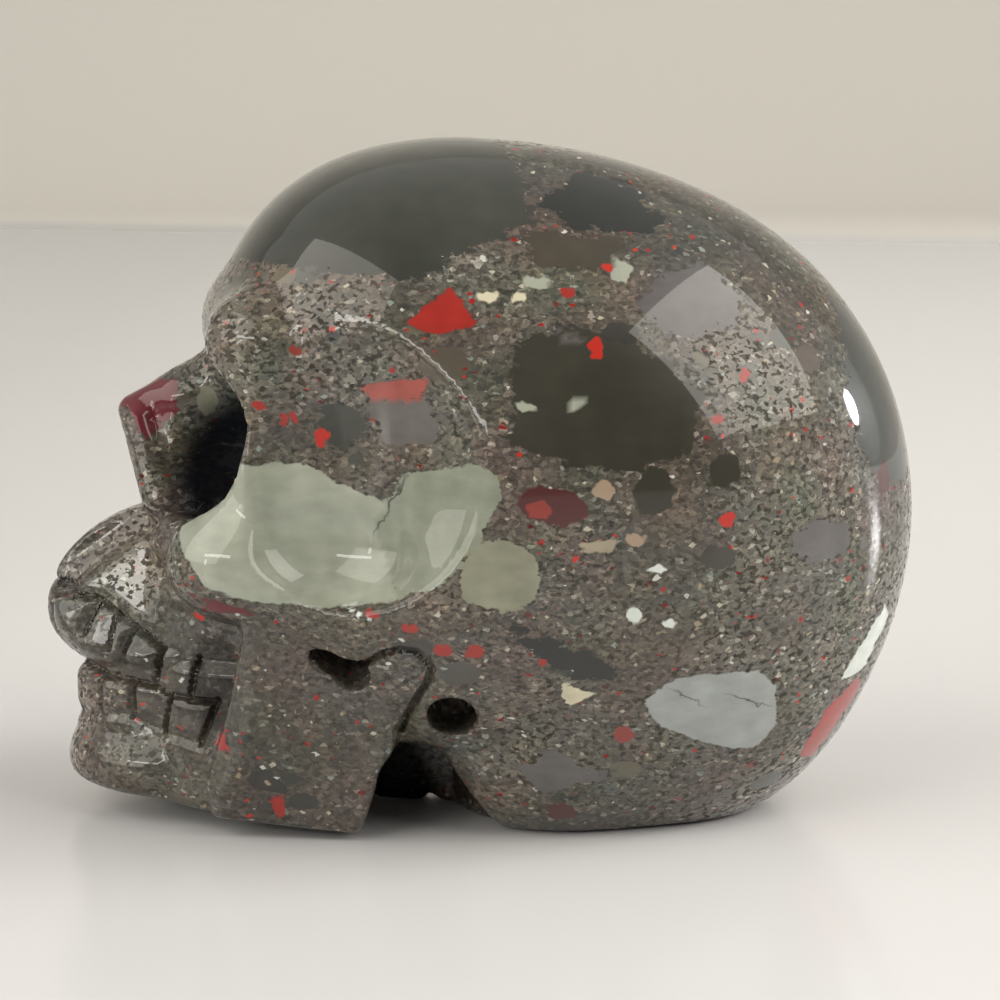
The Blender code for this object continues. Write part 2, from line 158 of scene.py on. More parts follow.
class Value:
    """A node's output, on which operators add further nodes."""

    def __init__(self, graph: Graph, socket: bpy.types.NodeSocket) -> None:
        """Hold the output socket."""
        self.graph = graph
        self.socket = socket

    def _join(self, operation: str, *values: Operand) -> Value:
        """Add a Math node, or a Vector Math node where a value is a vector.

        Args:
            operation: What the node does.
            values: The node's inputs, in order.

        Returns:
            The node's result.
        """
        vectors = any(isinstance(v, tuple) or (isinstance(v, Value) and v.socket.type == "VECTOR") for v in values)
        kind = "ShaderNodeVectorMath" if vectors else "ShaderNodeMath"
        return self.graph.node(kind, {"operation": operation}, dict(enumerate(values)))

    def _vector(self, operation: str, inputs: dict, output: int | str = 0) -> Value:
        """Add a Vector Math node whose first input is this value."""
        return self.graph.node("ShaderNodeVectorMath", {"operation": operation}, {0: self, **inputs}, output)

    def __add__(self, other: Operand) -> Value:
        """Return self + other."""
        return self._join("ADD", self, other)

    def __radd__(self, other: Operand) -> Value:
        """Return other + self."""
        return self._join("ADD", other, self)

    def __sub__(self, other: Operand) -> Value:
        """Return self - other."""
        return self._join("SUBTRACT", self, other)

    def __rsub__(self, other: Operand) -> Value:
        """Return other - self."""
        return self._join("SUBTRACT", other, self)

    def __mul__(self, other: Operand) -> Value:
        """Return self * other."""
        return self._join("MULTIPLY", self, other)

    def __rmul__(self, other: Operand) -> Value:
        """Return other * self."""
        return self._join("MULTIPLY", other, self)

    def __truediv__(self, other: Operand) -> Value:
        """Return self / other."""
        return self._join("DIVIDE", self, other)

    def __neg__(self) -> Value:
        """Return -self."""
        return self._join("MULTIPLY", self, -1.0)

    def __abs__(self) -> Value:
        """Return the size without its sign."""
        return self._join("ABSOLUTE", self)

    def __gt__(self, other: Operand) -> Value:
        """Return 1 where self is greater than other, and 0 elsewhere."""
        return self._join("GREATER_THAN", self, other)

    def __lt__(self, other: Operand) -> Value:
        """Return 1 where self is less than other, and 0 elsewhere."""
        return self._join("LESS_THAN", self, other)

    def at_least(self, other: Operand) -> Value:
        """Return the greater of self and other."""
        return self._join("MAXIMUM", self, other)

    def at_most(self, other: Operand) -> Value:
        """Return the smaller of self and other."""
        return self._join("MINIMUM", self, other)

    def within(self, low: Operand = 0.0, high: Operand = 1.0) -> Value:
        """Return self, held between a lowest and a highest value."""
        return self.at_least(low).at_most(high)

    def inside(self, softness: float) -> Value:
        """Turn a distance into a mask: 1 inside, 0 outside, with an edge of the given softness."""
        return (0.5 - self * (1.0 / softness)).within()

    def eased(self) -> Value:
        """Return a share of 0 to 1 that starts and ends level."""
        return self * self * (3.0 - self * 2.0)

    def soft_min(self, other: Operand, width: float) -> Value:
        """Return the smaller of two, with a soft seam."""
        return self._join("SMOOTH_MIN", self, other, width)

    def soft_max(self, other: Operand, width: float) -> Value:
        """Return the greater of two, with a soft seam."""
        return self._join("SMOOTH_MAX", self, other, width)

    def root(self) -> Value:
        """Return the square root."""
        return self._join("SQRT", self)

    def length(self) -> Value:
        """Return a vector's length."""
        return self._vector("LENGTH", {}, "Value")

    def dot(self, other: Operand) -> Value:
        """Return the dot product with another vector."""
        return self._vector("DOT_PRODUCT", {1: other}, "Value")

    def shaded(self, factor: Operand) -> Value:
        """Return this colour with its brightness multiplied by a factor."""
        return self._vector("SCALE", {"Scale": factor})

    def turned(self, turn: Point) -> Value:
        """Return the vector in the frame of a form that is turned by XYZ angles in degrees."""
        inputs = {"Vector": self, "Rotation": tuple(math.radians(angle) for angle in turn)}
        return self.graph.node("ShaderNodeVectorRotate", {"rotation_type": "EULER_XYZ", "invert": True}, inputs)

    def parts(self) -> list[Value]:
        """Return the three components of a vector."""
        split = self.graph.node("ShaderNodeSeparateXYZ", None, {0: self})
        return [Value(self.graph, socket) for socket in split.socket.node.outputs]


def vector(x: Value, y: Operand, z: Operand) -> Value:
    """Join three numbers into a vector."""
    return x.graph.node("ShaderNodeCombineXYZ", None, {0: x, 1: y, 2: z})


def placed(name: str, data: bpy.types.ID) -> bpy.types.Object:
    """Make an object and put it in the scene.

    Args:
        name: The object's name.
        data: Its mesh, light or camera.

    Returns:
        The object.
    """
    body = bpy.data.objects.new(name, data)
    bpy.context.scene.collection.objects.link(body)
    return body


def fresh_material(name: str) -> tuple[bpy.types.Material, Graph, bpy.types.Node]:
    """Make a material with one polished shader.

    Args:
        name: The material's name.

    Returns:
        The material, its graph and the shader's node.
    """
    material = bpy.data.materials.new(name)
    material.use_nodes = True
    return material, Graph(material.node_tree), material.node_tree.nodes["Principled BSDF"]


class Socket(Enum):
    """Kinds of socket on a node group."""

    NUMBER = "NodeSocketFloat"
    VECTOR = "NodeSocketVector"
    COLOUR = "NodeSocketColor"
    SHAPE = "NodeSocketGeometry"


@dataclass(frozen=True)
class Recipe:
    """A step that is built once as a node group in each kind of tree, and used many times."""

    name: str
    inputs: tuple[tuple[str, Socket], ...]
    work: Callable[..., Value]
    result: Socket = Socket.NUMBER

    def group(self, kind: str = "GeometryNodeTree") -> bpy.types.NodeTree:
        """Find the node group for a kind of tree, and build it where it isn't there yet.

        Args:
            kind: The kind of tree.

        Returns:
            The node group.
        """
        name = f"{self.name} {kind}"
        if name in bpy.data.node_groups:
            return bpy.data.node_groups[name]
        tree = bpy.data.node_groups.new(name, kind)
        for label, socket in self.inputs:
            tree.interface.new_socket(label, in_out="INPUT", socket_type=socket.value)
        tree.interface.new_socket("Result", in_out="OUTPUT", socket_type=self.result.value)
        inner = Graph(tree)
        entry = tree.nodes.new("NodeGroupInput")
        result = self.work(*[Value(inner, socket) for socket, _ in zip(entry.outputs, self.inputs)])
        tree.links.new(result.socket, tree.nodes.new("NodeGroupOutput").inputs[0])
        return tree

    def __call__(self, *values: Operand) -> Value:
        """Add the step to the tree of its first value.

        Args:
            values: What goes into the step's inputs, in order.

        Returns:
            The step's result.
        """
        graph = values[0].graph
        kind = graph.tree.bl_idname
        node = "ShaderNodeGroup" if kind == "ShaderNodeTree" else "GeometryNodeGroup"
        return graph.node(node, {"node_tree": self.group(kind)}, dict(enumerate(values)))


# These two keep an oval's distance finite at its centre.
TINY = 0.001
TYPICAL_RADIUS = 10.0


def _oval(offset: Value, radii: Operand) -> Value:
    """Measure the distance to an oval.

    Args:
        offset: The vector from the oval's centre.
        radii: The radii, which may change with the place.

    Returns:
        The distance.
    """
    once = offset / radii
    size = once.length()
    slope = (once / radii).length()
    return (size - 1.0) * (size + TINY) / (slope + TINY / TYPICAL_RADIUS)


def _rod(point: Value, start: Value, end: Value, first: Value, last: Value) -> Value:
    """Measure the distance to a round rod with ball ends.

    Args:
        point: The place.
        start: The middle of one end.
        end: The middle of the other end.
        first: The radius at the start.
        last: The radius at the end.

    Returns:
        The distance.
    """
    along = end - start
    offset = point - start
    share = (offset.dot(along) / along.dot(along)).within()
    return (offset - share * along).length() - (share * (last - first) + first)


def _level(point: Value, start: Value, inward: Value, reach: Value) -> Value:
    """Bring a point level with the start, over a reach to both sides."""
    depth = (point - start).dot(inward).within(-reach, reach)
    return point - depth * inward


def _stroke(point: Value, start: Value, end: Value, inward: Value, reach: Value, width: Value) -> Value:
    """Mark a line: 1 on it, which falls to 0 at its edge."""
    return (1.0 - ROD(LEVEL(point, start, inward, reach), start, end, 0.0, 0.0) / width).at_least(0.0)


def _painted(colour: Value, tone: Value, distance: Value, softness: Value) -> Value:
    """Paint a tone over a colour where the distance is below nought."""
    return colour.graph.mix(colour, tone, (0.5 - distance / softness).within())


PLACE = ("Place", Socket.VECTOR)
START = ("Start", Socket.VECTOR)
END = ("End", Socket.VECTOR)
INWARD = ("Inward", Socket.VECTOR)
REACH = ("Reach", Socket.NUMBER)
SHAPE = ("Shape", Socket.SHAPE)
OVAL = Recipe("oval", (PLACE, ("Radii", Socket.VECTOR)), _oval)
ROD = Recipe("rod", (PLACE, START, END, ("First radius", Socket.NUMBER), ("Last radius", Socket.NUMBER)), _rod)
LEVEL = Recipe("level", (PLACE, START, INWARD, REACH), _level, Socket.VECTOR)
STROKE = Recipe("stroke", (PLACE, START, END, INWARD, REACH, ("Width", Socket.NUMBER)), _stroke)
FACET = Recipe("facet", (
    PLACE, ("Across", Socket.VECTOR), ("Offset", Socket.NUMBER), ("So far", Socket.NUMBER),
), lambda place, across, offset, so_far: so_far.at_least(place.dot(across) - offset))
PAINTED = Recipe("painted", (
    ("Colour", Socket.COLOUR), ("Tone", Socket.COLOUR), ("Distance", Socket.NUMBER), ("Softness", Socket.NUMBER),
), _painted, Socket.COLOUR)


@dataclass(frozen=True)
class Ball:
    """An ellipsoid, turned by XYZ angles in degrees."""

    centre: Point
    radii: Point
    turn: Point = (0.0, 0.0, 0.0)

    def distance(self, point: Value) -> Value:
        """Measure the distance from a point."""
        offset = point - self.centre
        return OVAL(offset.turned(self.turn) if any(self.turn) else offset, self.radii)


@dataclass(frozen=True)
class Egg:
    """An ellipsoid with its own reach to the side, forward, back, up and down."""

    centre: Point
    reach: tuple[float, float, float, float, float]

    def distance(self, point: Value) -> Value:
        """Measure the distance from a point.

        Args:
            point: The place.

        Returns:
            The distance.
        """
        side, forward, back, up, down = self.reach
        offset = point - self.centre
        x, y, z = offset.parts()
        radii = vector(x * 0.0 + side, (y > 0.0) * (back - forward) + forward, (z > 0.0) * (up - down) + down)
        return OVAL(offset, radii)


@dataclass(frozen=True)
class Rod:
    """A round rod with ball ends, whose radius may go from a first to a last one."""

    start: Point
    end: Point
    first: float
    last: float | None = None

    def distance(self, point: Value) -> Value:
        """Measure the distance from a point."""
        return ROD(point, self.start, self.end, self.first, self.first if self.last is None else self.last)


@dataclass(frozen=True)
class Block:
    """A box with rounded edges, turned by XYZ angles in degrees."""

    centre: Point
    half: Point
    rounding: float
    turn: Point

    def distance(self, point: Value) -> Value:
        """Measure the distance from a point.

        Args:
            point: The place.

        Returns:
            The distance.
        """
        offset = abs((point - self.centre).turned(self.turn))
        beyond = offset - tuple(value - self.rounding for value in self.half)
        x, y, z = beyond.parts()
        outside = beyond.at_least((0.0, 0.0, 0.0)).length()
        return outside + x.at_least(y).at_least(z).at_most(0.0) - self.rounding


@dataclass(frozen=True)
class Drum:
    """An upright oval drum with rounded rims."""

    centre: Point
    plan: Corner
    half_height: float
    rounding: float

    def distance(self, point: Value) -> Value:
        """Measure the distance from a point.

        Args:
            point: The place.

        Returns:
            The distance.
        """
        offset = point - self.centre
        around = OVAL(offset * (1.0, 1.0, 0.0), (*self.plan, 1.0)) + self.rounding
        above = abs(offset.parts()[2]) - (self.half_height - self.rounding)
        outside = vector(around.at_least(0.0), above.at_least(0.0), 0.0).length()
        return outside + around.at_least(above).at_most(0.0) - self.rounding


Mass = Union[Ball, Egg, Rod, Block, Drum]


def joined(*masses: Value, blend: float) -> Value:
    """Join masses with a soft seam.

    Args:
        masses: The distances to them.
        blend: The seam's width.

    Returns:
        The distance to the whole.
    """
    result = masses[0]
    for mass in masses[1:]:
        result = result.soft_min(mass, blend)
    return result


def merged(point: Value, masses: Sequence[Mass], blend: float) -> Value:
    """Measure the distance from a point to forms that are joined with a soft seam."""
    return joined(*[mass.distance(point) for mass in masses], blend=blend)


def hollowed(mass: Value, *hollows: Value, blend: float) -> Value:
    """Take hollows out of a mass, with a rounded edge.

    Args:
        mass: The distance to the mass.
        hollows: The distances to the hollows.
        blend: The edge's width.

    Returns:
        The distance to what is left.
    """
    for hollow in hollows:
        mass = mass.soft_max(-hollow, blend)
    return mass


def deepest(marks: Sequence[Value]) -> Value:
    """Join marks, keeping the strongest at each point.

    Args:
        marks: Each mark's strength.

    Returns:
        The strongest.
    """
    result = marks[0]
    for mark in marks[1:]:
        result = result.at_least(mark)
    return result


@dataclass(frozen=True)
class Braincase:
    """The vault with its bulges, the back of the head and the forehead."""

    vault: Egg = Egg((0.0, -0.7, 26.3), (23.8, 21.5, 37.7, 30.95, 23.0))
    bulges: tuple[Ball, ...] = (
        Ball((0.0, 9.0, 29.0), (24.5, 26.5, 25.0)),
        Ball((0.0, 13.0, 16.0), (18.5, 20.6, 19.0)),
        Ball((0.0, 12.0, 22.0), (20.0, 24.5, 22.0)),
        Ball((0.0, 7.0, 7.0), (16.5, 14.0, 10.0)),
        Ball((0.0, -5.5, 41.0), (19.6, 16.8, 15.9)),
    )
    blend: float = 3.0

    def distance(self, side: Value) -> Value:
        """Measure the distance to the braincase."""
        return merged(side, (self.vault, *self.bulges), self.blend)


@dataclass(frozen=True)
class Face:
    """Brow, outer rims of the sockets, cheekbones and the arches behind them."""

    core: Ball = Ball((0.0, -7.5, 28.0), (18.6, 13.0, 17.0))
    brow: Rod = Rod((0.0, -19.1, 42.0), (12.4, -17.4, 41.0), 4.4)
    outer_rim: Rod = Rod((12.8, -17.2, 40.5), (14.2, -16.0, 31.0), 3.6)
    rim_foot: Rod = Rod((14.2, -16.0, 31.0), (13.6, -19.4, 23.2), 3.6)
    cheek: Ball = Ball((13.6, -19.4, 23.2), (5.4, 5.9, 4.9))
    lower_rim: Rod = Rod((13.6, -19.4, 23.2), (7.0, -25.0, 24.0), 2.3)
    arch: Rod = Rod((15.6, -16.5, 21.4), (19.6, -2.0, 19.3), 2.9)
    blend: float = 3.6

    def distance(self, side: Value) -> Value:
        """Measure the distance to the upper face."""
        rims = (self.brow, self.outer_rim, self.rim_foot)
        return merged(side, (self.core, *rims, self.cheek, self.lower_rim, self.arch), self.blend)


@dataclass(frozen=True)
class Nose:
    """Bridge, tip and edges of the nose, and its drop-shaped opening."""

    bridge: Ball = Ball((0.0, -19.0, 31.5), (3.6, 8.5, 9.0))
    ridge: Rod = Rod((0.0, -22.1, 36.7), (0.0, -29.5, 34.2), 2.7, 1.4)
    edge: Rod = Rod((1.2, -28.9, 33.2), (3.8, -26.6, 27.0), 1.5, 1.9)
    body: Rod = Rod((0.0, -24.8, 34.8), (0.0, -23.0, 27.5), 3.0, 5.6)
    blend: float = 1.4
    drop: Rod = Rod((0.0, -12.0, 32.4), (0.0, -12.0, 28.3), 0.7, 2.3)
    drop_squeeze: float = 0.4

    def distance(self, side: Value) -> Value:
        """Measure the distance to the nose."""
        return merged(side, (self.bridge, self.ridge, self.edge, self.body), self.blend)

    def opening(self, side: Value) -> Value:
        """Measure the distance to the opening's hollow, which is stretched along Y."""
        return self.drop.distance(side * (1.0, self.drop_squeeze, 1.0))


@dataclass(frozen=True)
class Jaws:
    """Upper jaw with its flat sides, and lower jaw with the flat branch that rises at each side."""

    maxilla: Egg = Egg((0.0, -24.0, 17.3), (11.0, 13.2, 12.0, 9.4, 6.8))
    side_point: Point = (7.2, -30.0, 18.0)
    side_normal: Point = (0.90, -0.31, 0.30)
    flute: Rod = Rod((4.3, -27.3, 28.0), (4.3, -36.3, 21.6), 3.0)
    maxilla_edge: float = 0.6
    palate: Egg = Egg((0.0, -17.0, 17.5), (12.6, 13.0, 12.0, 11.0, 10.0))
    bite: Ball = Ball((0.0, -24.0, 12.5), (9.2, 9.6, 5.0))
    upper_blend: float = 1.0
    chin: Drum = Drum((0.0, -25.3, 6.4), (8.8, 9.5), 6.4, 1.6)
    boss: Ball = Ball((0.0, -26.2, 4.6), (10.0, 9.4, 5.4))
    body: Drum = Drum((0.0, -17.5, 6.6), (12.7, 13.0), 8.0, 1.6)
    branch: Block = Block((12.2, -13.3, 9.6), (4.0, 7.0, 9.6), 1.2, (-13.0, 11.0, -7.0))
    branch_edge: Rod = Rod((14.6, -17.5, 13.0), (13.3, -20.3, 4.6), 2.1)
    lower_blend: float = 0.8
    underside: Corner = (-10.9, 0.7)
    underside_slope: float = -0.09
    underside_blend: float = 1.2
    floor: Ball = Ball((0.0, -19.0, -0.5), (7.5, 10.5, 4.0))

    def upper(self, side: Value) -> Value:
        """Measure the distance to the upper jaw, with its flat sides and the flute above each front tooth row.

        Args:
            side: The place, with its x made positive.

        Returns:
            The distance.
        """
        beyond = (side - self.side_point).dot(self.side_normal)
        maxilla = hollowed(self.maxilla.distance(side), -beyond, self.flute.distance(side), blend=self.maxilla_edge)
        return joined(maxilla, self.palate.distance(side), self.bite.distance(side), blend=self.upper_blend)

    def lower(self, side: Value) -> Value:
        """Measure the distance to the lower jaw, cut off by its sloping underside.

        Args:
            side: The place, with its x made positive.

        Returns:
            The distance.
        """
        jaw = merged(side, (self.chin, self.boss, self.body, self.branch, self.branch_edge), self.lower_blend)
        _, y, z = side.parts()
        start_y, start_z = self.underside
        below = z - start_z - (y - start_y) * self.underside_slope
        return hollowed(jaw, below, self.floor.distance(side), blend=self.underside_blend)


@dataclass(frozen=True)
class Hollows:
    """Eye sockets, temple scoops, cheek slots, ear holes and the gap at the neck."""

    socket: Ball = Ball((10.4, -23.4, 33.2), (7.6, 9.4, 7.3), (0.0, 0.0, 12.0))
    temple: Ball = Ball((23.4, -8.6, 33.2), (5.2, 11.8, 12.8), (0.0, 0.0, -25.0))
    temple_pit: Ball = Ball((20.9, -12.0, 25.4), (4.4, 6.4, 4.6))
    temple_blend: float = 4.0
    gap_front: Rod = Rod((0.0, -5.2, 4.9), (0.0, -6.9, -4.0), 2.9, 3.9)
    gap_back: Rod = Rod((0.0, -5.2, 4.9), (0.0, 0.4, -3.6), 2.9, 3.2)
    gap_blend: float = 0.6
    neck: Ball = Ball((0.0, 6.2, 0.0), (9.5, 8.4, 40.0))
    neck_web: float = 2.2
    neck_blend: float = 1.0
    ear: Rod = Rod((21.5, -2.2, 10.8), (13.0, -1.8, 11.8), 2.0)
    slot: Rod = Rod((17.0, -12.8, 16.3), (17.0, -9.9, 14.9), 0.7, 1.4)
    slot_inward: Point = (-0.95, 0.0, 0.31)
    slot_reach: float = 5.0

    def scoop(self, side: Value) -> Value:
        """Measure the distance to the scoop at the temple, which deepens behind the cheekbone."""
        return merged(side, (self.temple, self.temple_pit), self.temple_blend)

    def small(self, side: Value) -> tuple[Value, Value]:
        """Measure the distances to the slot under the cheek arch and to the ear hole."""
        flat = LEVEL(side, self.slot.start, self.slot_inward, self.slot_reach)
        return self.slot.distance(flat), self.ear.distance(side)

    def gap(self, side: Value) -> Value:
        """Measure the distance to the arched gap at the neck, which stops at the neck and at the middle web.

        Args:
            side: The place, with its x made positive.

        Returns:
            The distance.
        """
        arch = merged(side * (0.0, 1.0, 1.0), (self.gap_front, self.gap_back), self.gap_blend)
        web = side.parts()[0] - self.neck_web
        return hollowed(arch, self.neck.distance(side), web, blend=self.neck_blend)


@dataclass(frozen=True)
class CutLines:
    """The lines cut between the teeth, along gums and bite, and behind the jaw's branch."""

    dip_width: float = 1.4
    dip_depth: float = 0.34
    cut_width: float = 0.38
    cut_depth: float = 0.6
    reach: float = 3.0
    row_centre: Corner = (0.0, -20.0)
    upper_gaps: tuple[tuple[Point, Point], ...] = (
        ((0.0, -37.0, 19.2), (0.0, -35.6, 14.2)),
        ((3.3, -35.6, 19.0), (3.3, -35.0, 14.2)),
        ((6.5, -33.0, 18.8), (6.7, -33.8, 16.0)),
        ((7.3, -31.3, 17.6), (8.1, -32.0, 14.8)),
        ((8.1, -29.2, 16.9), (8.6, -30.6, 13.8)),
        ((9.5, -26.5, 15.2), (9.5, -27.4, 12.5)),
        ((10.8, -23.2, 14.6), (10.8, -23.9, 11.2)),
    )
    lower_gaps: tuple[tuple[Point, Point], ...] = (
        ((0.0, -35.0, 8.0), (0.0, -35.0, 12.4)),
        ((2.9, -34.4, 8.0), (2.9, -34.4, 12.4)),
        ((5.9, -32.1, 8.9), (5.8, -31.8, 12.4)),
        ((8.2, -29.5, 9.2), (8.1, -29.3, 12.0)),
        ((9.7, -26.7, 8.0), (9.8, -25.8, 11.2)),
        ((11.9, -23.2, 7.5), (12.6, -21.7, 11.3)),
    )
    gum: tuple[Point, ...] = (
        (0.0, -36.4, 19.9), (3.3, -35.6, 19.3), (6.5, -33.0, 18.8), (7.2, -31.1, 17.8),
        (8.0, -29.2, 16.8), (9.2, -27.8, 15.8), (9.4, -26.4, 15.2),
    )
    bite: tuple[Point, ...] = (
        (0.0, -35.0, 12.8), (5.1, -32.8, 12.5), (8.3, -29.9, 12.1), (9.3, -27.6, 11.9),
        (9.9, -25.9, 11.3), (11.0, -23.6, 11.2), (12.5, -21.7, 11.2),
    )
    lower_gum: tuple[Point, ...] = (
        (0.0, -34.6, 8.2), (5.9, -31.8, 9.0), (8.3, -30.0, 9.3), (8.9, -28.5, 8.6), (9.7, -26.8, 8.0),
        (11.3, -24.7, 7.8), (11.9, -23.2, 7.5),
    )
    branch: tuple[Point, ...] = (
        (20.1, -9.2, 15.7), (20.5, -8.2, 16.3), (21.4, -7.3, 17.0), (22.1, -6.1, 17.4), (22.5, -4.8, 17.3),
        (21.9, -3.9, 16.7), (20.9, -3.6, 15.7), (20.4, -4.0, 14.4), (19.3, -4.7, 13.1), (17.8, -5.4, 11.7),
        (16.3, -6.2, 9.9),
    )
    branch_share: float = 1.1

    def _inward(self, place: Point) -> Point:
        """Find the level direction from a point on the teeth to the middle of the tooth rows.

        Args:
            place: The point.

        Returns:
            The direction, of length 1.
        """
        across = self.row_centre[0] - place[0]
        along = self.row_centre[1] - place[1]
        away = math.hypot(across, along)
        return (across / away, along / away, 0.0)

    def _stroke(self, side: Value, start: Point, end: Point) -> Value:
        """Mark one line round the row of teeth, which the blade cuts straight inwards.

        Args:
            side: The place, with its x made positive.
            start: The line's start on the surface.
            end: The line's end on the surface.

        Returns:
            1 on the line, which falls to 0 at the dip's edge.
        """
        inward = self._inward(start)
        lean = sum((b - a) * share for a, b, share in zip(start, end, inward))
        level_end = tuple(value - lean * share for value, share in zip(end, inward))
        return STROKE(side, start, level_end, inward, self.reach, self.dip_width)

    def _cut(self, marks: Sequence[Value]) -> Value:
        """Shape a narrow saw cut with a soft dip on both its sides.

        Args:
            marks: The strength of each line's mark.

        Returns:
            The cut's depth.
        """
        mark = deepest(marks)
        share = self.cut_width / self.dip_width
        saw = ((mark - (1.0 - share)) * (1.0 / share)).at_least(0.0)
        return mark * mark * self.dip_depth + saw * self.cut_depth

    def teeth(self, side: Value) -> Value:
        """Cut the lines round the teeth.

        Args:
            side: The place, with its x made positive.

        Returns:
            The lines' depth.
        """
        strokes = [*self.upper_gaps, *self.lower_gaps, *zip(self.gum, self.gum[1:]), *zip(self.bite, self.bite[1:])]
        cut = self._cut([self._stroke(side, start, end) for start, end in strokes])
        dip = deepest([self._stroke(side, start, end) for start, end in zip(self.lower_gum, self.lower_gum[1:])])
        return cut.at_least(dip * dip * self.dip_depth)

    def branch_line(self, side: Value) -> Value:
        """Cut the line behind the jaw's branch.

        Args:
            side: The place, with its x made positive.

        Returns:
            The line's depth.
        """
        marks = []
        for (x0, y0, z0), (x1, y1, z1) in zip(self.branch, self.branch[1:]):
            middle = (x0 + x1) / 2.0
            start, end = (middle, y0, z0), (middle, y1, z1)
            marks.append(STROKE(side, start, end, (-1.0, 0.0, 0.0), self.reach, self.dip_width))
        return self._cut(marks) * self.branch_share


@dataclass(frozen=True)
class Skull:
    """The whole carved form, and the mesh made from it."""

    braincase: Braincase = Braincase()
    face: Face = Face()
    nose: Nose = Nose()
    jaws: Jaws = Jaws()
    hollows: Hollows = Hollows()
    lines: CutLines = CutLines()
    # Widths of the crease on the middle plane, of the seams, and of the edges round hollows and base.
    midline_softness: float = 0.8
    face_blend: float = 3.0
    temple_edge: float = 0.7
    jaw_blend: float = 1.4
    socket_edge: float = 1.2
    small_edge: float = 0.5
    gap_edge: float = 1.4
    base_edge: float = 1.0
    # The grid of the first, coarse surface.
    voxel: float = 0.6
    threshold: float = 10.0
    low: Point = (-29.0, -41.0, -3.0)
    high: Point = (29.0, 41.0, 61.0)
    # Where the surface is divided further, and down to which lengths of edge.
    fine_boxes: tuple[tuple[Point, Point], ...] = (
        ((-14.6, -40.0, 6.6), (14.6, -20.8, 21.0)),
        ((14.0, -9.6, 9.2), (24.4, -2.6, 19.6)),
        ((-24.4, -9.6, 9.2), (-14.0, -2.6, 19.6)),
    )
    longest_edges: tuple[float, ...] = (0.30, 0.22)
    # How the vertices settle on the exact surface.
    step: float = 0.02
    settling: int = 3
    least_slope: float = 0.2
    longest_move: float = 0.5

    def distance(self, point: Value, with_lines: bool) -> Value:
        """Measure the distance from a point to the skull's surface.

        Args:
            point: The place in design millimetres.
            with_lines: Whether the cut lines are in the surface.

        Returns:
            The distance.
        """
        x, y, z = point.parts()
        side = vector((x * x + self.midline_softness ** 2).root() - self.midline_softness, y, z)
        solid = joined(self.braincase.distance(side), self.face.distance(side), blend=self.face_blend)
        solid = hollowed(solid, self.hollows.scoop(side), blend=self.temple_edge)
        jaws = self.jaws.lower(side), self.jaws.upper(side)
        solid = joined(solid, *jaws, self.nose.distance(side), blend=self.jaw_blend)
        solid = hollowed(solid, self.hollows.socket.distance(side), blend=self.socket_edge)
        solid = hollowed(solid, self.nose.opening(side), *self.hollows.small(side), blend=self.small_edge)
        solid = hollowed(solid, self.hollows.gap(side), blend=self.gap_edge)
        if with_lines:
            solid = solid + self.lines.teeth(side) + self.lines.branch_line(side)
        return hollowed(solid, z - ORIGIN[2], blend=self.base_edge)

    def _measure(self, name: str, with_lines: bool) -> Recipe:
        """Return the step that measures the distance, in design millimetres, at a place in metres."""
        return Recipe(name, (PLACE,), lambda place: self.distance(place * (1.0 / MM) + ORIGIN, with_lines))

    def _form(self, graph: Graph, measure: Recipe) -> Value:
        """Make a closed surface where the distance is nought.

        Args:
            graph: The geometry tree.
            measure: What measures the distance.

        Returns:
            The surface.
        """
        density = self.threshold - measure(graph.node("GeometryNodeInputPosition"))
        limits = {"Min": tuple(v * MM for v in self.low), "Max": tuple(v * MM for v in self.high)}
        for axis, low, high in zip("XYZ", self.low, self.high):
            limits[f"Resolution {axis}"] = round((high - low) / self.voxel)
        cube = graph.node("GeometryNodeVolumeCube", None, {"Density": density, **limits})
        return graph.node("GeometryNodeVolumeToMesh", None, {"Volume": cube, "Threshold": self.threshold})

    def _slope(self, measure: Recipe, place: Value) -> Value:
        """Find the direction in which the distance grows fastest at a place.

        Args:
            measure: What measures the distance.
            place: The place in metres.

        Returns:
            The direction, whose length is the slope.
        """
        here = measure(place)
        shifts = [tuple(self.step * MM if axis == other else 0.0 for other in range(3)) for axis in range(3)]
        return vector(*[(measure(place + shift) - here) * (1.0 / self.step) for shift in shifts])

    def _settled(self, shape: Value, smooth: Recipe, cut: Recipe, mark: Callable[[Value], Value]) -> Value:
        """Move each vertex onto the exact surface, with its exact normal and marks.

        Args:
            shape: The mesh.
            smooth: Measures the distance without the cut lines, whose slope the vertices follow.
            cut: Measures the distance with the cut lines.
            mark: Adds the stone's marks.

        Returns:
            The mesh, settled.
        """
        graph = shape.graph
        for _ in range(self.settling):
            place = graph.node("GeometryNodeInputPosition")
            here = cut(place)
            rise = self._slope(smooth, place)
            share = here / rise.dot(rise).at_least(self.least_slope)
            move = rise * share.at_most(self.longest_move).at_least(-self.longest_move) * (-MM)
            shape = graph.node("GeometryNodeSetPosition", None, {"Geometry": shape, "Offset": move})
        shape = mark(shape)
        rise = self._slope(cut, graph.node("GeometryNodeInputPosition"))
        normal = graph.node("ShaderNodeVectorMath", {"operation": "NORMALIZE"}, {0: rise})
        kind = {"mode": "FREE", "domain": "POINT"}
        return graph.node("GeometryNodeSetMeshNormal", kind, {"Mesh": shape, "Custom Normal": normal})

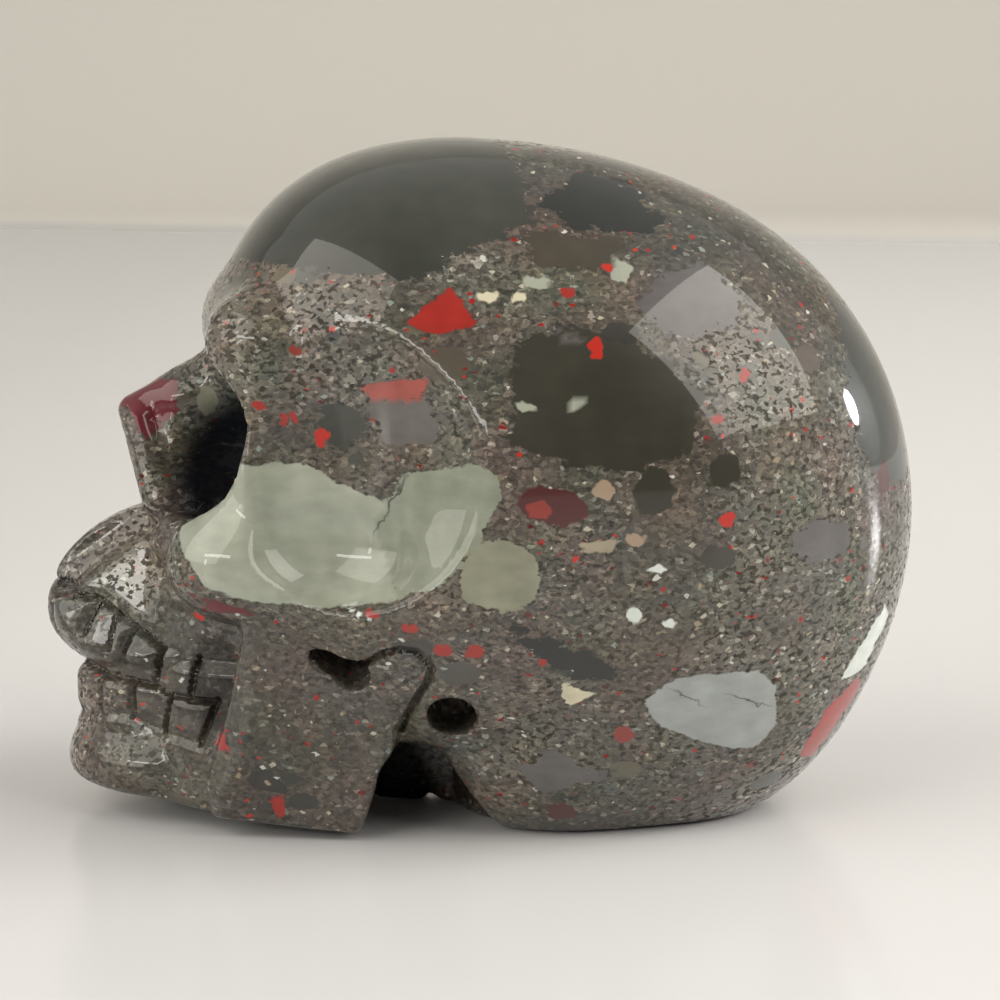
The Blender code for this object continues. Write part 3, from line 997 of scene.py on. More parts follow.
    @staticmethod
    def _passed(body: bpy.types.Object, name: str, work: Callable[[Value], Value]) -> bpy.types.Mesh:
        """Pass an object's mesh through a geometry step.

        Args:
            body: The object.
            name: The step's name.
            work: Takes the mesh and returns the new one.

        Returns:
            The new mesh.
        """
        body.modifiers.clear()
        body.modifiers.new(name, "NODES").node_group = Recipe(name, (SHAPE,), work, Socket.SHAPE).group()
        shown = body.evaluated_get(bpy.context.evaluated_depsgraph_get())
        return bpy.data.meshes.new_from_object(shown)

    def _refine(self, mesh: bpy.types.Mesh) -> None:
        """Divide the faces round the cut lines, so that these come out crisp.

        Args:
            mesh: The mesh, which is changed.
        """
        boxes = [[[(v - o) * MM for v, o in zip(corner, ORIGIN)] for corner in box] for box in self.fine_boxes]
        shape = bmesh.new()
        shape.from_mesh(mesh)
        for longest in self.longest_edges:
            edges = []
            for edge in shape.edges:
                middle = (edge.verts[0].co + edge.verts[1].co) / 2.0
                near = any(all(a < c < b for a, c, b in zip(low, middle, high)) for low, high in boxes)
                if near and edge.calc_length() > longest * MM:
                    edges.append(edge)
            bmesh.ops.subdivide_edges(shape, edges=edges, cuts=1, use_grid_fill=True)
            bmesh.ops.triangulate(shape, faces=[face for face in shape.faces if len(face.verts) > 4])
        shape.to_mesh(mesh)
        shape.free()

    def build(self, material: bpy.types.Material, mark: Callable[[Value], Value]) -> bpy.types.Object:
        """Make the skull's object.

        Args:
            material: The stone.
            mark: What adds the stone's marks to the mesh.

        Returns:
            The object, with one closed mesh.
        """
        smooth = self._measure("smooth skull", with_lines=False)
        cut = self._measure("cut skull", with_lines=True)
        body = placed("skull_stone", bpy.data.meshes.new("draft"))
        body.data = self._passed(body, "form", lambda shape: self._form(shape.graph, smooth))
        LOG.info("coarse surface: %d faces", len(body.data.polygons))
        self._refine(body.data)
        body.data = self._passed(body, "settle", lambda shape: self._settled(shape, smooth, cut, mark))
        body.modifiers.clear()
        body.data.name = "skull_stone"
        body.data.materials.clear()
        body.data.materials.append(material)
        for face in body.data.polygons:
            face.use_smooth = True
        return body


class Tone(Enum):
    """Colours of the stone's fragments and cracks."""

    DARK_GREEN = srgb(58, 60, 52)
    SLATE = srgb(31, 33, 30)
    BROWN = srgb(72, 64, 51)
    OLIVE = srgb(57, 55, 44)
    SMOKE = srgb(98, 94, 92)
    PURPLE_GREY = srgb(104, 98, 94)
    BLUE_DARK = srgb(70, 73, 70)
    SAGE = srgb(173, 178, 161)
    SAGE_DARK = srgb(150, 156, 138)
    MOSS = srgb(148, 149, 126)
    BLUE_GREY = srgb(168, 174, 170)
    CREAM = srgb(226, 218, 188)
    WHITE = srgb(236, 243, 235)
    PEACH = srgb(174, 152, 128)
    TAN = srgb(168, 156, 132)
    RED = srgb(170, 42, 31)
    BRIGHT_RED = srgb(198, 40, 22)
    SALMON = srgb(170, 76, 64)
    BRICK = srgb(150, 60, 50)
    WINE = srgb(112, 22, 34)
    MAROON = srgb(86, 42, 40)
    CRACK = srgb(52, 54, 48)


# What the mesh keeps at its vertices.
DEPTH = "fragment_depth"
TONE = "fragment_tone"
DRIFT = "stone_drift"
DENSITY = "stone_density"
# The light share in the deep hollows, 1 outside them: where it is low, painted shade goes in.
PAINTED_HOLLOW_LIGHT = "hollow_light"


@dataclass(frozen=True)
class Pebble:
    """A rounded fragment: centre, radii and turn about X in degrees."""

    tone: Tone
    centre: Point
    radii: Point
    turn: float = 0.0

    def distance(self, place: Value) -> Value:
        """Measure the distance to the fragment's surface."""
        return Ball(self.centre, self.radii, (self.turn, 0.0, 0.0)).distance(place)

    def rough_distance(self, place: Value) -> Value:
        """Measure the distance roughly and with few nodes, which is enough for a small chip.

        Args:
            place: The place in the stone.

        Returns:
            The distance.
        """
        graph = place.graph
        spread = tuple(1.0 / radius for radius in self.radii)
        if self.turn:
            size = ((place - self.centre).turned((self.turn, 0.0, 0.0)) * spread).length()
        else:
            start = tuple(-middle * share for middle, share in zip(self.centre, spread))
            inputs = {0: place, 1: spread, 2: start}
            size = graph.node("ShaderNodeVectorMath", {"operation": "MULTIPLY_ADD"}, inputs).length()
        least = min(self.radii)
        return graph.node("ShaderNodeMath", {"operation": "MULTIPLY_ADD"}, {0: size, 1: least, 2: -least})


@dataclass(frozen=True)
class Shard:
    """A flat-sided fragment: how far it reaches in x, and one or more convex outlines of (y, z) that touch."""

    tone: Tone
    reach: Corner
    corners: tuple[Corner, ...]
    further: tuple[tuple[Corner, ...], ...] = ()

    def distance(self, place: Value) -> Value:
        """Measure the distance to the fragment's surface.

        Args:
            place: The place in the stone.

        Returns:
            The distance.
        """
        result = self._outline(place, self.corners)
        for corners in self.further:
            result = result.at_most(self._outline(place, corners))
        return result

    def _outline(self, place: Value, corners: tuple[Corner, ...]) -> Value:
        """Measure the distance to one outline's piece.

        Args:
            place: The place in the stone.
            corners: The outline.

        Returns:
            The distance.
        """
        pairs = list(zip(corners, corners[1:] + corners[:1]))
        turning = sum(a[0] * b[1] - b[0] * a[1] for a, b in pairs)
        way = 1.0 if turning > 0.0 else -1.0
        low, high = self.reach
        result = abs(place.dot((1.0, 0.0, 0.0)) - (low + high) / 2.0) - (high - low) / 2.0
        for (y0, z0), (y1, z1) in pairs:
            size = way * math.hypot(y1 - y0, z1 - z0)
            across = (0.0, (z1 - z0) / size, (y0 - y1) / size)
            result = FACET(place, across, across[1] * y0 + across[2] * z0, result)
        return result


FRAGMENTS: tuple[Pebble | Shard, ...] = (
    Shard(Tone.DARK_GREEN, (-4.0, 24.0), (
        (-22.0, 47.8), (-11.6, 47.0), (-4.5, 46.4), (0.3, 48.9), (4.2, 51.0), (3.6, 54.5), (0.0, 59.0), (-22.0, 59.0),
    )),
    Shard(Tone.SLATE, (4.0, 20.0), ((5.1, 52.5), (8.5, 54.6), (12.5, 53.6), (15.2, 50.9), (13.1, 49.7), (7.5, 50.4))),
    Shard(Tone.BROWN, (8.0, 22.0), ((4.0, 49.8), (11.6, 49.7), (10.6, 47.6), (5.0, 47.4))),
    Shard(Tone.OLIVE, (15.0, 28.0), (
        (3.0, 41.2), (6.5, 42.9), (12.8, 41.6), (17.5, 38.1), (16.6, 33.6), (12.7, 32.0), (6.5, 32.8), (2.6, 34.4),
    )),
    Shard(Tone.PURPLE_GREY, (14.0, 24.0), ((-8.9, 36.8), (-3.6, 37.2), (-3.1, 34.1), (-7.3, 33.2))),
    Shard(Tone.DARK_GREEN, (12.0, 24.0), ((-13.3, 35.2), (-10.1, 36.9), (-8.5, 34.5), (-10.9, 33.0))),
    Shard(Tone.SAGE, (9.0, 30.0), (
        (-20.3, 31.6), (-14.1, 31.8), (-11.5, 30.6), (-11.5, 20.7), (-18.9, 20.9), (-21.9, 22.0), (-24.2, 25.9),
    ), (((-14.5, 31.6), (-12.0, 30.6), (-5.0, 30.6), (-5.0, 22.2), (-7.6, 21.2), (-12.5, 20.6), (-14.5, 20.7)),)),
    Shard(Tone.SAGE_DARK, (12.0, 30.0), (
        (-5.9, 31.2), (0.3, 32.5), (1.9, 31.3), (1.7, 29.4), (-0.5, 25.1), (-2.8, 23.0), (-6.4, 21.7), (-8.2, 26.5),
    )),
    Pebble(Tone.MOSS, (22.0, 1.9, 23.8), (6.0, 3.6, 3.3)),
    Shard(Tone.BLUE_GREY, (8.0, 24.0), (
        (13.2, 13.0), (14.8, 10.4), (17.7, 9.2), (20.4, 8.1), (22.7, 8.0), (24.5, 9.9), (24.3, 13.5), (22.6, 15.0),
        (15.7, 14.9),
    )),
    Shard(Tone.SMOKE, (8.0, 24.0), (
        (12.4, 43.7), (14.5, 46.8), (17.9, 47.7), (20.9, 45.5), (20.5, 42.9), (16.8, 42.2),
    )),
    Shard(Tone.SMOKE, (12.0, 24.0), ((25.0, 26.8), (28.3, 27.6), (31.0, 25.2), (28.4, 23.6), (25.6, 24.4))),
    Shard(Tone.SMOKE, (2.0, 20.0), ((3.1, 6.8), (6.7, 8.6), (10.6, 6.2), (7.2, 4.6), (4.6, 4.8))),
    Shard(Tone.SLATE, (16.0, 28.0), (
        (2.1, 19.7), (5.7, 18.4), (10.3, 16.9), (11.3, 15.9), (10.7, 15.0), (7.7, 15.0), (5.2, 16.6),
    )),
    Shard(Tone.BLUE_DARK, (2.0, 14.0), ((29.5, 44.0), (34.0, 42.0), (37.0, 30.0), (34.5, 28.5), (30.5, 33.0))),
    Shard(Tone.DARK_GREEN, (-24.0, -5.0), (
        (-12.0, 48.0), (-8.0, 52.0), (-1.0, 53.0), (3.0, 50.0), (-3.0, 41.0), (-10.0, 42.0),
    )),
    Shard(Tone.OLIVE, (-30.0, -12.0), (
        (4.0, 34.0), (8.0, 38.0), (17.0, 36.0), (21.0, 31.0), (16.0, 25.0), (7.0, 26.0),
    )),
    Shard(Tone.SAGE, (-30.0, -10.0), ((0.0, 20.5), (4.5, 23.5), (8.5, 21.5), (8.0, 18.0), (2.0, 17.0))),
    Shard(Tone.BLUE_GREY, (-22.0, -6.0), ((19.0, 33.0), (22.0, 38.0), (28.0, 36.5), (27.0, 31.5))),
    Shard(Tone.RED, (-28.0, -10.0), ((9.0, 43.5), (12.0, 46.5), (14.5, 43.0))),
    Shard(Tone.MAROON, (-28.0, -10.0), ((21.0, 24.5), (25.0, 26.0), (26.0, 23.0), (22.5, 21.5))),
    Shard(Tone.SALMON, (-28.0, -10.0), ((-9.0, 35.5), (-4.0, 37.0), (-4.5, 34.0))),
    Shard(Tone.RED, (-28.0, -10.0), ((-12.0, 13.5), (-10.5, 15.5), (-9.0, 12.5))),
    Pebble(Tone.SLATE, (-6.0, 18.0, 52.0), (7.0, 6.0, 5.0)),
    Pebble(Tone.MOSS, (-15.0, -17.0, 27.0), (5.0, 4.0, 4.0)),
    Shard(Tone.PURPLE_GREY, (-28.0, -6.0), ((12.0, 13.0), (15.0, 17.5), (20.0, 17.0), (22.0, 13.0), (16.0, 10.5))),
    Pebble(Tone.SAGE_DARK, (-2.0, 35.0, 30.0), (5.0, 4.0, 4.5)),
    Shard(Tone.RED, (16.0, 24.0), ((-5.8, 43.2), (-1.9, 46.0), (0.0, 43.1), (-2.8, 42.4))),
    Shard(Tone.SALMON, (15.0, 24.0), ((-9.3, 38.0), (-3.6, 39.1), (-4.4, 37.2), (-8.4, 36.8))),
    Shard(Tone.SAGE, (13.0, 22.0), ((11.1, 48.2), (12.5, 47.4), (11.9, 46.0), (10.8, 46.6))),
    Shard(Tone.CREAM, (16.0, 24.0), ((6.7, 14.8), (9.4, 13.6), (7.1, 12.0))),
    Shard(Tone.TAN, (20.0, 28.0), ((7.6, 26.5), (10.8, 26.7), (10.6, 25.7), (8.0, 25.6))),
    Shard(Tone.WHITE, (4.0, 16.0), ((33.8, 19.6), (34.5, 17.5), (32.4, 13.4), (29.4, 12.6), (31.2, 15.0))),
    Shard(Tone.RED, (4.0, 16.0), ((31.8, 12.9), (32.4, 11.5), (28.4, 5.6), (26.7, 6.2), (29.0, 10.4))),
    Shard(Tone.WINE, (-4.0, 12.0), ((-31.0, 35.6), (-27.0, 37.2), (-25.5, 36.6), (-25.4, 34.6), (-28.2, 32.2))),
    Shard(Tone.WINE, (14.0, 22.0), ((-22.8, 21.0), (-20.8, 20.6), (-18.4, 19.9), (-21.0, 19.6))),
    Shard(Tone.WHITE, (18.0, 25.0), ((-10.4, 20.8), (-8.6, 20.5), (-7.5, 19.9), (-9.0, 19.9))),
    Shard(Tone.RED, (12.0, 18.0), ((-21.6, 7.8), (-20.7, 9.8), (-20.0, 7.6))),
    Shard(Tone.RED, (12.0, 18.0), ((-17.1, 4.0), (-15.9, 4.0), (-15.7, 2.0), (-16.6, 1.9))),
    Shard(Tone.SAGE, (20.0, 27.0), ((7.0, 37.3), (8.3, 37.5), (7.8, 36.3))),
    Shard(Tone.SMOKE, (18.0, 26.0), ((5.2, 43.3), (8.2, 41.9), (7.4, 41.4))),
)

CHIPS: tuple[Pebble, ...] = (
    Pebble(Tone.CRACK, (19.3, -6.5, 29.3), (3.0, 0.10, 1.9), -26.6),
    Pebble(Tone.CRACK, (18.5, -7.7, 27.0), (3.0, 0.09, 0.8), -34.0),
    Pebble(Tone.CRACK, (19.5, 16.8, 13.1), (3.0, 1.0, 0.06), -32.0),
    Pebble(Tone.CRACK, (17.0, 21.9, 12.4), (3.0, 1.5, 0.08), -21.0),
    Pebble(Tone.MAROON, (24.5, 6.0, 29.3), (3.0, 2.9, 1.5), -10.0),
    Pebble(Tone.OLIVE, (24.0, 13.8, 30.4), (3.0, 1.6, 1.9)),
    Pebble(Tone.OLIVE, (22.5, 19.3, 31.8), (3.0, 1.3, 1.4)),
    Pebble(Tone.OLIVE, (22.5, 18.8, 25.0), (3.0, 1.5, 1.0)),
    Pebble(Tone.SAGE_DARK, (23.8, 3.1, 13.0), (0.4, 0.4, 0.4)),
    Pebble(Tone.PEACH, (25.2, 9.9, 30.6), (2.0, 0.8, 0.8)),
    Pebble(Tone.MOSS, (3.6, -23.0, 35.3), (1.6, 0.9, 1.3)),
    Pebble(Tone.BRIGHT_RED, (12.8, -23.2, 18.4), (1.2, 0.8, 0.5)),
    Pebble(Tone.RED, (22.1, -8.2, 20.3), (0.7, 0.6, 0.35)),
    Pebble(Tone.MAROON, (15.5, 6.9, 2.7), (2.0, 1.3, 0.9), -20.0),
    Pebble(Tone.MAROON, (11.4, 33.4, 29.7), (1.6, 0.8, 1.3)),
    Pebble(Tone.RED, (23.2, -5.2, 19.3), (0.8, 0.8, 0.4)),
    Pebble(Tone.RED, (23.1, -2.6, 17.6), (0.8, 0.7, 0.7)),
    Pebble(Tone.RED, (23.0, -0.1, 17.5), (0.8, 0.7, 0.6)),
    Pebble(Tone.RED, (17.8, -17.4, 36.4), (0.8, 0.7, 0.35), -10.0),
    Pebble(Tone.BRIGHT_RED, (17.6, -12.4, 33.9), (0.8, 0.6, 0.75)),
    Pebble(Tone.RED, (17.4, -15.4, 35.2), (0.7, 0.35, 0.45)),
    Pebble(Tone.RED, (17.4, -14.6, 35.3), (0.7, 0.3, 0.4)),
    Pebble(Tone.BRICK, (17.9, -14.3, 40.8), (0.7, 0.5, 0.45)),
    Pebble(Tone.BRIGHT_RED, (22.2, 9.3, 41.4), (0.9, 0.6, 0.95)),
    Pebble(Tone.BRIGHT_RED, (17.7, 10.4, 47.4), (0.6, 0.5, 0.35)),
    Pebble(Tone.RED, (19.7, 7.2, 45.5), (0.7, 0.6, 0.35)),
    Pebble(Tone.BRIGHT_RED, (23.2, 19.6, 28.0), (0.8, 0.6, 0.55)),
    Pebble(Tone.BRICK, (18.6, 11.9, 9.8), (1.0, 0.85, 0.8)),
    Pebble(Tone.BRICK, (25.3, 4.9, 29.0), (0.8, 1.0, 0.7)),
    Pebble(Tone.RED, (22.4, 5.2, 16.4), (0.6, 0.4, 0.35)),
    Pebble(Tone.RED, (22.5, 18.8, 35.9), (0.7, 0.5, 0.35)),
    Pebble(Tone.RED, (20.2, 21.1, 39.1), (0.7, 0.4, 0.6)),
    Pebble(Tone.PEACH, (25.0, 12.3, 26.7), (0.8, 0.8, 0.5)),
    Pebble(Tone.CREAM, (19.9, 0.9, 45.2), (0.8, 0.9, 0.45)),
    Pebble(Tone.CREAM, (19.9, 3.4, 45.2), (0.8, 0.6, 0.35)),
    Pebble(Tone.SAGE, (19.1, 4.7, 46.3), (0.9, 1.1, 0.5)),
    Pebble(Tone.WHITE, (22.9, 15.2, 19.7), (0.7, 0.5, 0.3)),
    Pebble(Tone.WHITE, (24.4, 14.1, 24.3), (0.7, 0.6, 0.35)),
    Pebble(Tone.WHITE, (23.7, 12.4, 20.5), (0.8, 0.6, 0.65)),
    Pebble(Tone.SAGE, (23.7, 3.8, 36.9), (0.7, 0.9, 0.3), -20.0),
)


@dataclass(frozen=True)
class Zone:
    """A soft oval zone, the same on both sides, which fades out towards its edge."""

    centre: Point
    radii: Point
    strength: float
    fade_end: float = 1.2
    fade_slope: float = 2.0

    def over(self, rest: Operand, side: Value) -> Value:
        """Take the zone's share out of what the zones before it leave."""
        size = ((side - self.centre) / self.radii).length()
        return rest * (1.0 - ((self.fade_end - size) * self.fade_slope).within().eased() * self.strength)


def outside(zones: Sequence[Zone], side: Value) -> Value:
    """Find how far a place is out of all the zones.

    Args:
        zones: The zones.
        side: The place, with its x made positive.

    Returns:
        1 outside them all, and less inside.
    """
    rest: Operand = 1.0
    for zone in zones:
        rest = zone.over(rest, side)
    return rest


# Painted shade: hollows that little light reaches, where the stone gives way to a dark, dull shader.
PAINTED_SHADE_ZONES: tuple[Zone, ...] = (
    Zone((5.5, -19.6, 29.4), (6.6, 6.4, 7.4), 0.97),
    Zone((0.0, -8.0, 1.6), (12.5, 4.6, 6.2), 0.92),
    Zone((12.6, -21.6, 13.0), (2.4, 2.7, 4.4), 0.5),
)
# Worn polish with painted sheen: rougher, more pitted stone, which is also made paler where window light lies on it.
WORN_AND_SHEEN: tuple[Zone, ...] = (
    Zone((7.5, -29.6, 20.4), (3.4, 3.2, 3.0), 1.0),
    Zone((9.8, -27.5, 6.0), (3.4, 3.6, 2.8), 1.0),
    Zone((16.5, -16.0, 41.5), (5.0, 7.5, 4.5), 0.8),
    Zone((19.0, 26.0, 29.0), (9.0, 8.0, 9.0), 0.6),
)
# Darker, with a whole polish: over the top and back of the head, on the side of the braincase, low on the jaw and
# round the base.
DARK: tuple[Zone, ...] = (
    Zone((8.0, 16.0, 52.5), (17.0, 19.0, 5.5), 1.0),
    Zone((12.0, 26.0, 45.5), (14.0, 9.0, 7.0), 0.7),
    Zone((10.0, 2.0, 3.0), (16.0, 14.0, 4.0), 0.6),
    Zone((13.0, -20.0, 9.0), (14.0, 15.0, 12.0), 0.9),
    Zone((22.0, 10.0, 36.0), (7.0, 11.0, 7.0), 0.4),
)


class Cut(Enum):
    """How the loose chips are bounded."""

    SHARP = "MANHATTAN"
    ROUND = "EUCLIDEAN"


@dataclass(frozen=True)
class Scatter:
    """Loose chips of one kind, strewn at random: spacing, share of the places that hold one, radii in spacings."""

    spacing: float
    share: float
    radii: Corner
    squash: float
    start: Point
    cut: Cut
    tones: Ramp

    def over(self, colour: Value, place: Value, softness: float) -> tuple[Value, Value]:
        """Paint the chips over a colour.

        Args:
            colour: The colour so far.
            place: The place in the stone, in design millimetres.
            softness: Width of a chip's edge.

        Returns:
            The new colour, and the mask of the chips.
        """
        graph = place.graph
        spread = tuple(1.0 / self.spacing * squash for squash in (1.0, 1.0, self.squash))
        inputs = {"Vector": place * spread + self.start, "Scale": 1.0}
        cells = graph.node("ShaderNodeTexVoronoi", {"distance": self.cut.value}, inputs, "Color")
        away = Value(graph, cells.socket.node.outputs["Distance"])
        split = graph.node("ShaderNodeSeparateColor", None, {0: cells}).socket.node
        pick, tone, size = [Value(graph, socket) for socket in split.outputs]
        least, most = self.radii
        radius = (pick < self.share) * (size * (most - least) + least + 1.0) - 1.0
        mask = ((away - radius) * self.spacing).inside(softness)
        return graph.mix(colour, graph.node("ShaderNodeValToRGB", {"stops": self.tones}, {0: tone}), mask), mask


@dataclass(frozen=True)
class Bloodstone:
    """The polished stone: fine grains, broken fragments of many sizes, red chips, pits and cracks."""

    # How far the pattern is bent, and how flat it lies.
    warp: float = 1.5
    fine_warp: float = 0.55
    chip_warp: float = 1.7
    traced_share: float = 0.35
    levelling: float = 0.7
    flattening: float = 1.5
    cloud_flattening: float = 2.2
    band_length: float = 0.15
    # Sizes of lumps, clouds, bands and grains.
    drift_size: float = 6.0
    density_size: float = 9.0
    cloud_size: float = 2.4
    band_size: float = 2.2
    ragged_size: float = 0.8
    ripple_size: float = 0.6
    grain_size: float = 0.44
    grit_size: float = 0.22
    # Light, haze and hue of the ground mass, the colour of the painted shade in the deep hollows, and the gain over
    # all.
    grain_light: float = 0.25
    ripple_light: float = 0.5
    grit_light: float = 0.8
    least_light: float = 0.24
    cloud_light: float = 0.9
    cloud_floor: float = 0.55
    density_light: float = 1.3
    pale_cloud: float = 0.3
    pale_floor: float = 0.2
    worn_and_sheen_share: float = 0.22
    dark_share: float = 0.3
    haze: Colour = (0.122, 0.106, 0.080)
    haze_share: float = 0.36
    drift_hue: Colour = (0.45, 0.08, -0.25)
    hollow: Colour = (0.003, 0.004, 0.006)
    gain: float = 0.83
    # Edges, rims and tones of the fragments: pale and red ones have the cleanest edges.
    edge: float = 0.14
    fleck_edge: float = 0.1
    cloud_break: float = 2.4
    ripple_break: float = 1.4
    most_broken: float = 1.25
    red_whole: float = 2.6
    least_broken: float = 0.3
    rim: Corner = (0.12, -0.04)
    rim_shade: float = 0.25
    tone_cloud: float = 0.5
    tone_band: float = 0.4
    tone_floor: float = 0.55
    # Pits, polish and relief.
    rough_density: float = 1.6
    rough_cloud: float = 0.8
    rough_level: float = 0.42
    pit_level: float = 0.53
    pit_slope: float = 24.0
    pit_shade: float = 0.5
    pit_roughness: float = 0.35
    pit_dullness: float = 0.95
    roughness: float = 0.35
    polish: float = 0.03
    under_gloss: float = 0.2
    relief: float = 0.15
    relief_depth: float = 0.05
    # Grains and loose chips.
    grains: Ramp = (
        (0.00, srgb(66, 64, 58)),
        (0.14, srgb(88, 84, 75)),
        (0.34, srgb(104, 98, 87)),
        (0.56, srgb(118, 110, 97)),
        (0.72, srgb(94, 91, 83)),
        (0.82, srgb(132, 124, 110)),
        (0.92, srgb(150, 142, 127)),
        (0.975, srgb(186, 180, 166)),
    )
    flecks: Scatter = Scatter(1.05, 0.55, (0.10, 0.42), 1.35, (0.3, 0.9, 0.4), Cut.SHARP, (
        (0.00, srgb(196, 188, 168)),
        (0.22, srgb(150, 160, 150)),
        (0.38, srgb(218, 216, 206)),
        (0.46, srgb(166, 150, 124)),
        (0.60, srgb(168, 30, 22)),
        (0.80, srgb(120, 34, 30)),
        (0.92, srgb(200, 48, 22)),
    ))
    chips: Scatter = Scatter(2.3, 0.46, (0.16, 0.40), 1.5, (0.1, 0.2, 0.7), Cut.SHARP, (
        (0.00, srgb(72, 72, 66)),
        (0.22, srgb(98, 92, 82)),
        (0.42, srgb(120, 116, 104)),
        (0.58, srgb(86, 76, 66)),
        (0.72, srgb(134, 128, 114)),
        (0.84, srgb(106, 106, 102)),
        (0.95, srgb(126, 62, 52)),
    ))
    clasts: Scatter = Scatter(5.6, 0.26, (0.18, 0.36), 1.6, (0.2, 0.8, 0.45), Cut.ROUND, (
        (0.00, srgb(72, 74, 66)),
        (0.25, srgb(92, 84, 71)),
        (0.45, srgb(84, 84, 77)),
        (0.62, srgb(106, 98, 90)),
        (0.78, srgb(68, 67, 61)),
        (0.90, srgb(108, 104, 86)),
    ))

    def mark(self, shape: Value) -> Value:
        """Keep what changes slowly over the stone at each vertex.

        Args:
            shape: The mesh.

        Returns:
            The mesh, with the nearest large fragment's depth and tone, a drift, the stone's density with the
            painted sheen of the worn zones, and the light share that sets the painted shade in the hollows.
        """
        graph = shape.graph
        place = graph.node("GeometryNodeInputPosition") * (1.0 / MM) + ORIGIN
        drift = (graph.noise(place, self.drift_size, 2.0, "Color") - HALF) * self.warp
        traced = place + drift * self.traced_share
        depth = FRAGMENTS[0].distance(traced)
        tone = FRAGMENTS[0].tone.value
        for fragment in FRAGMENTS[1:]:
            distance = fragment.distance(traced)
            chosen = distance < depth.at_least(0.0)
            depth = chosen * (distance - depth) + depth
            tone = graph.mix(tone, fragment.tone.value, chosen)
        x, y, z = place.parts()
        side = vector(abs(x), y, z)
        worn_and_sheen, dark = [1.0 - outside(zones, side) for zones in (WORN_AND_SHEEN, DARK)]
        density = graph.noise(place, self.density_size, 3.0) + worn_and_sheen * self.worn_and_sheen_share - dark * self.dark_share
        kept = (
            (PAINTED_HOLLOW_LIGHT, "FLOAT", outside(PAINTED_SHADE_ZONES, side)),
            (DEPTH, "FLOAT", depth),
            (TONE, "FLOAT_COLOR", tone),
            (DRIFT, "FLOAT_VECTOR", drift),
            (DENSITY, "FLOAT", density),
        )
        for name, kind, value in kept:
            inputs = {"Geometry": shape, "Name": name, "Value": value}
            shape = graph.node("GeometryNodeStoreNamedAttribute", {"data_type": kind, "domain": "POINT"}, inputs)
        return shape

    def _matrix(self, place: Value, bent: Value, drift: Value, cloud: Value, ripple: Value) -> tuple[Value, Value]:
        """Colour the fine ground mass of the stone, with its loose chips.

        Args:
            place: The place, drawn flat, in design millimetres.
            bent: The place, bent for the loose chips.
            drift: The slow drift.
            cloud: The soft clouds.
            ripple: The fine ripple.

        Returns:
            The colour, and the mask of the larger loose chips.
        """
        graph = place.graph
        grain = graph.node("ShaderNodeTexVoronoi", None, {"Vector": place, "Scale": 1.0 / self.grain_size}, "Color")
        colour = graph.node("ShaderNodeValToRGB", {"stops": self.grains}, {0: grain.dot((1.0, 0.0, 0.0))})
        grit = graph.noise(place, self.grit_size, 1.0)
        uneven = grain.dot((0.0, self.grain_light, 0.0)) + ripple * self.ripple_light + grit * self.grit_light
        colour = colour.shaded(uneven + self.least_light).shaded(cloud * self.cloud_light + self.cloud_floor)
        colour = graph.mix(colour, self.haze, self.haze_share)
        colour, _ = self.chips.over(colour, bent, self.edge)
        colour, mask = self.clasts.over(colour, bent, self.edge)
        # The density holds the worn zones' painted sheen, which makes the stone paler there.
        paleness = graph.kept(DENSITY, "Fac") * self.density_light + cloud * self.pale_cloud + self.pale_floor
        colour = colour.shaded(paleness)
        hue = drift * self.drift_hue + (1.0, 1.0, 1.0)
        colour = graph.node("ShaderNodeVectorMath", {"operation": "MULTIPLY"}, {0: colour, 1: hue})
        colour, _ = self.flecks.over(colour, bent, self.fleck_edge)
        return colour, mask

    def _fragments(self, colour: Value, place: Value, cloud: Value, ripple: Value) -> tuple[Value, Value]:
        """Paint the large fragments, with a dark rim and faint bands.

        Args:
            colour: The colour so far.
            place: The place in design millimetres.
            cloud: The soft clouds.
            ripple: The fine ripple.

        Returns:
            The colour, and the distance to the nearest fragment.
        """
        graph = place.graph
        tone = graph.kept(TONE, "Color")
        broken = (self.most_broken - tone.dot((self.red_whole, 0.0, 0.0))).at_least(self.least_broken)
        breaks = (cloud - 0.5) * self.cloud_break + (ripple - 0.5) * self.ripple_break
        nearest = graph.kept(DEPTH, "Fac") + breaks * broken
        bands = graph.noise(place * (1.0, 1.0, self.band_length), self.band_size, 1.0)
        tone = tone.shaded(cloud * self.tone_cloud + bands * self.tone_band + self.tone_floor)
        colour = graph.mix(colour, tone, nearest.inside(self.edge))
        outer, inner = self.rim
        rim = (nearest - outer).inside(outer - inner) - (nearest - inner).inside(outer - inner)
        return colour.shaded(1.0 - rim * self.rim_shade), nearest

    def _chips(self, colour: Value, nearest: Value, place: Value) -> tuple[Value, Value]:
        """Paint the placed chips, tone by tone.

        Args:
            colour: The colour so far.
            nearest: The distance to the nearest large fragment.
            place: The place in design millimetres.

        Returns:
            The colour, and the distance to the nearest fragment or chip.
        """
        for tone in dict.fromkeys(chip.tone for chip in CHIPS):
            first, *others = [chip.rough_distance(place) for chip in CHIPS if chip.tone == tone]
            for distance in others:
                first = first.at_most(distance)
            colour = PAINTED(colour, tone.value, first, self.edge)
            nearest = nearest.at_most(first)
        return colour, nearest

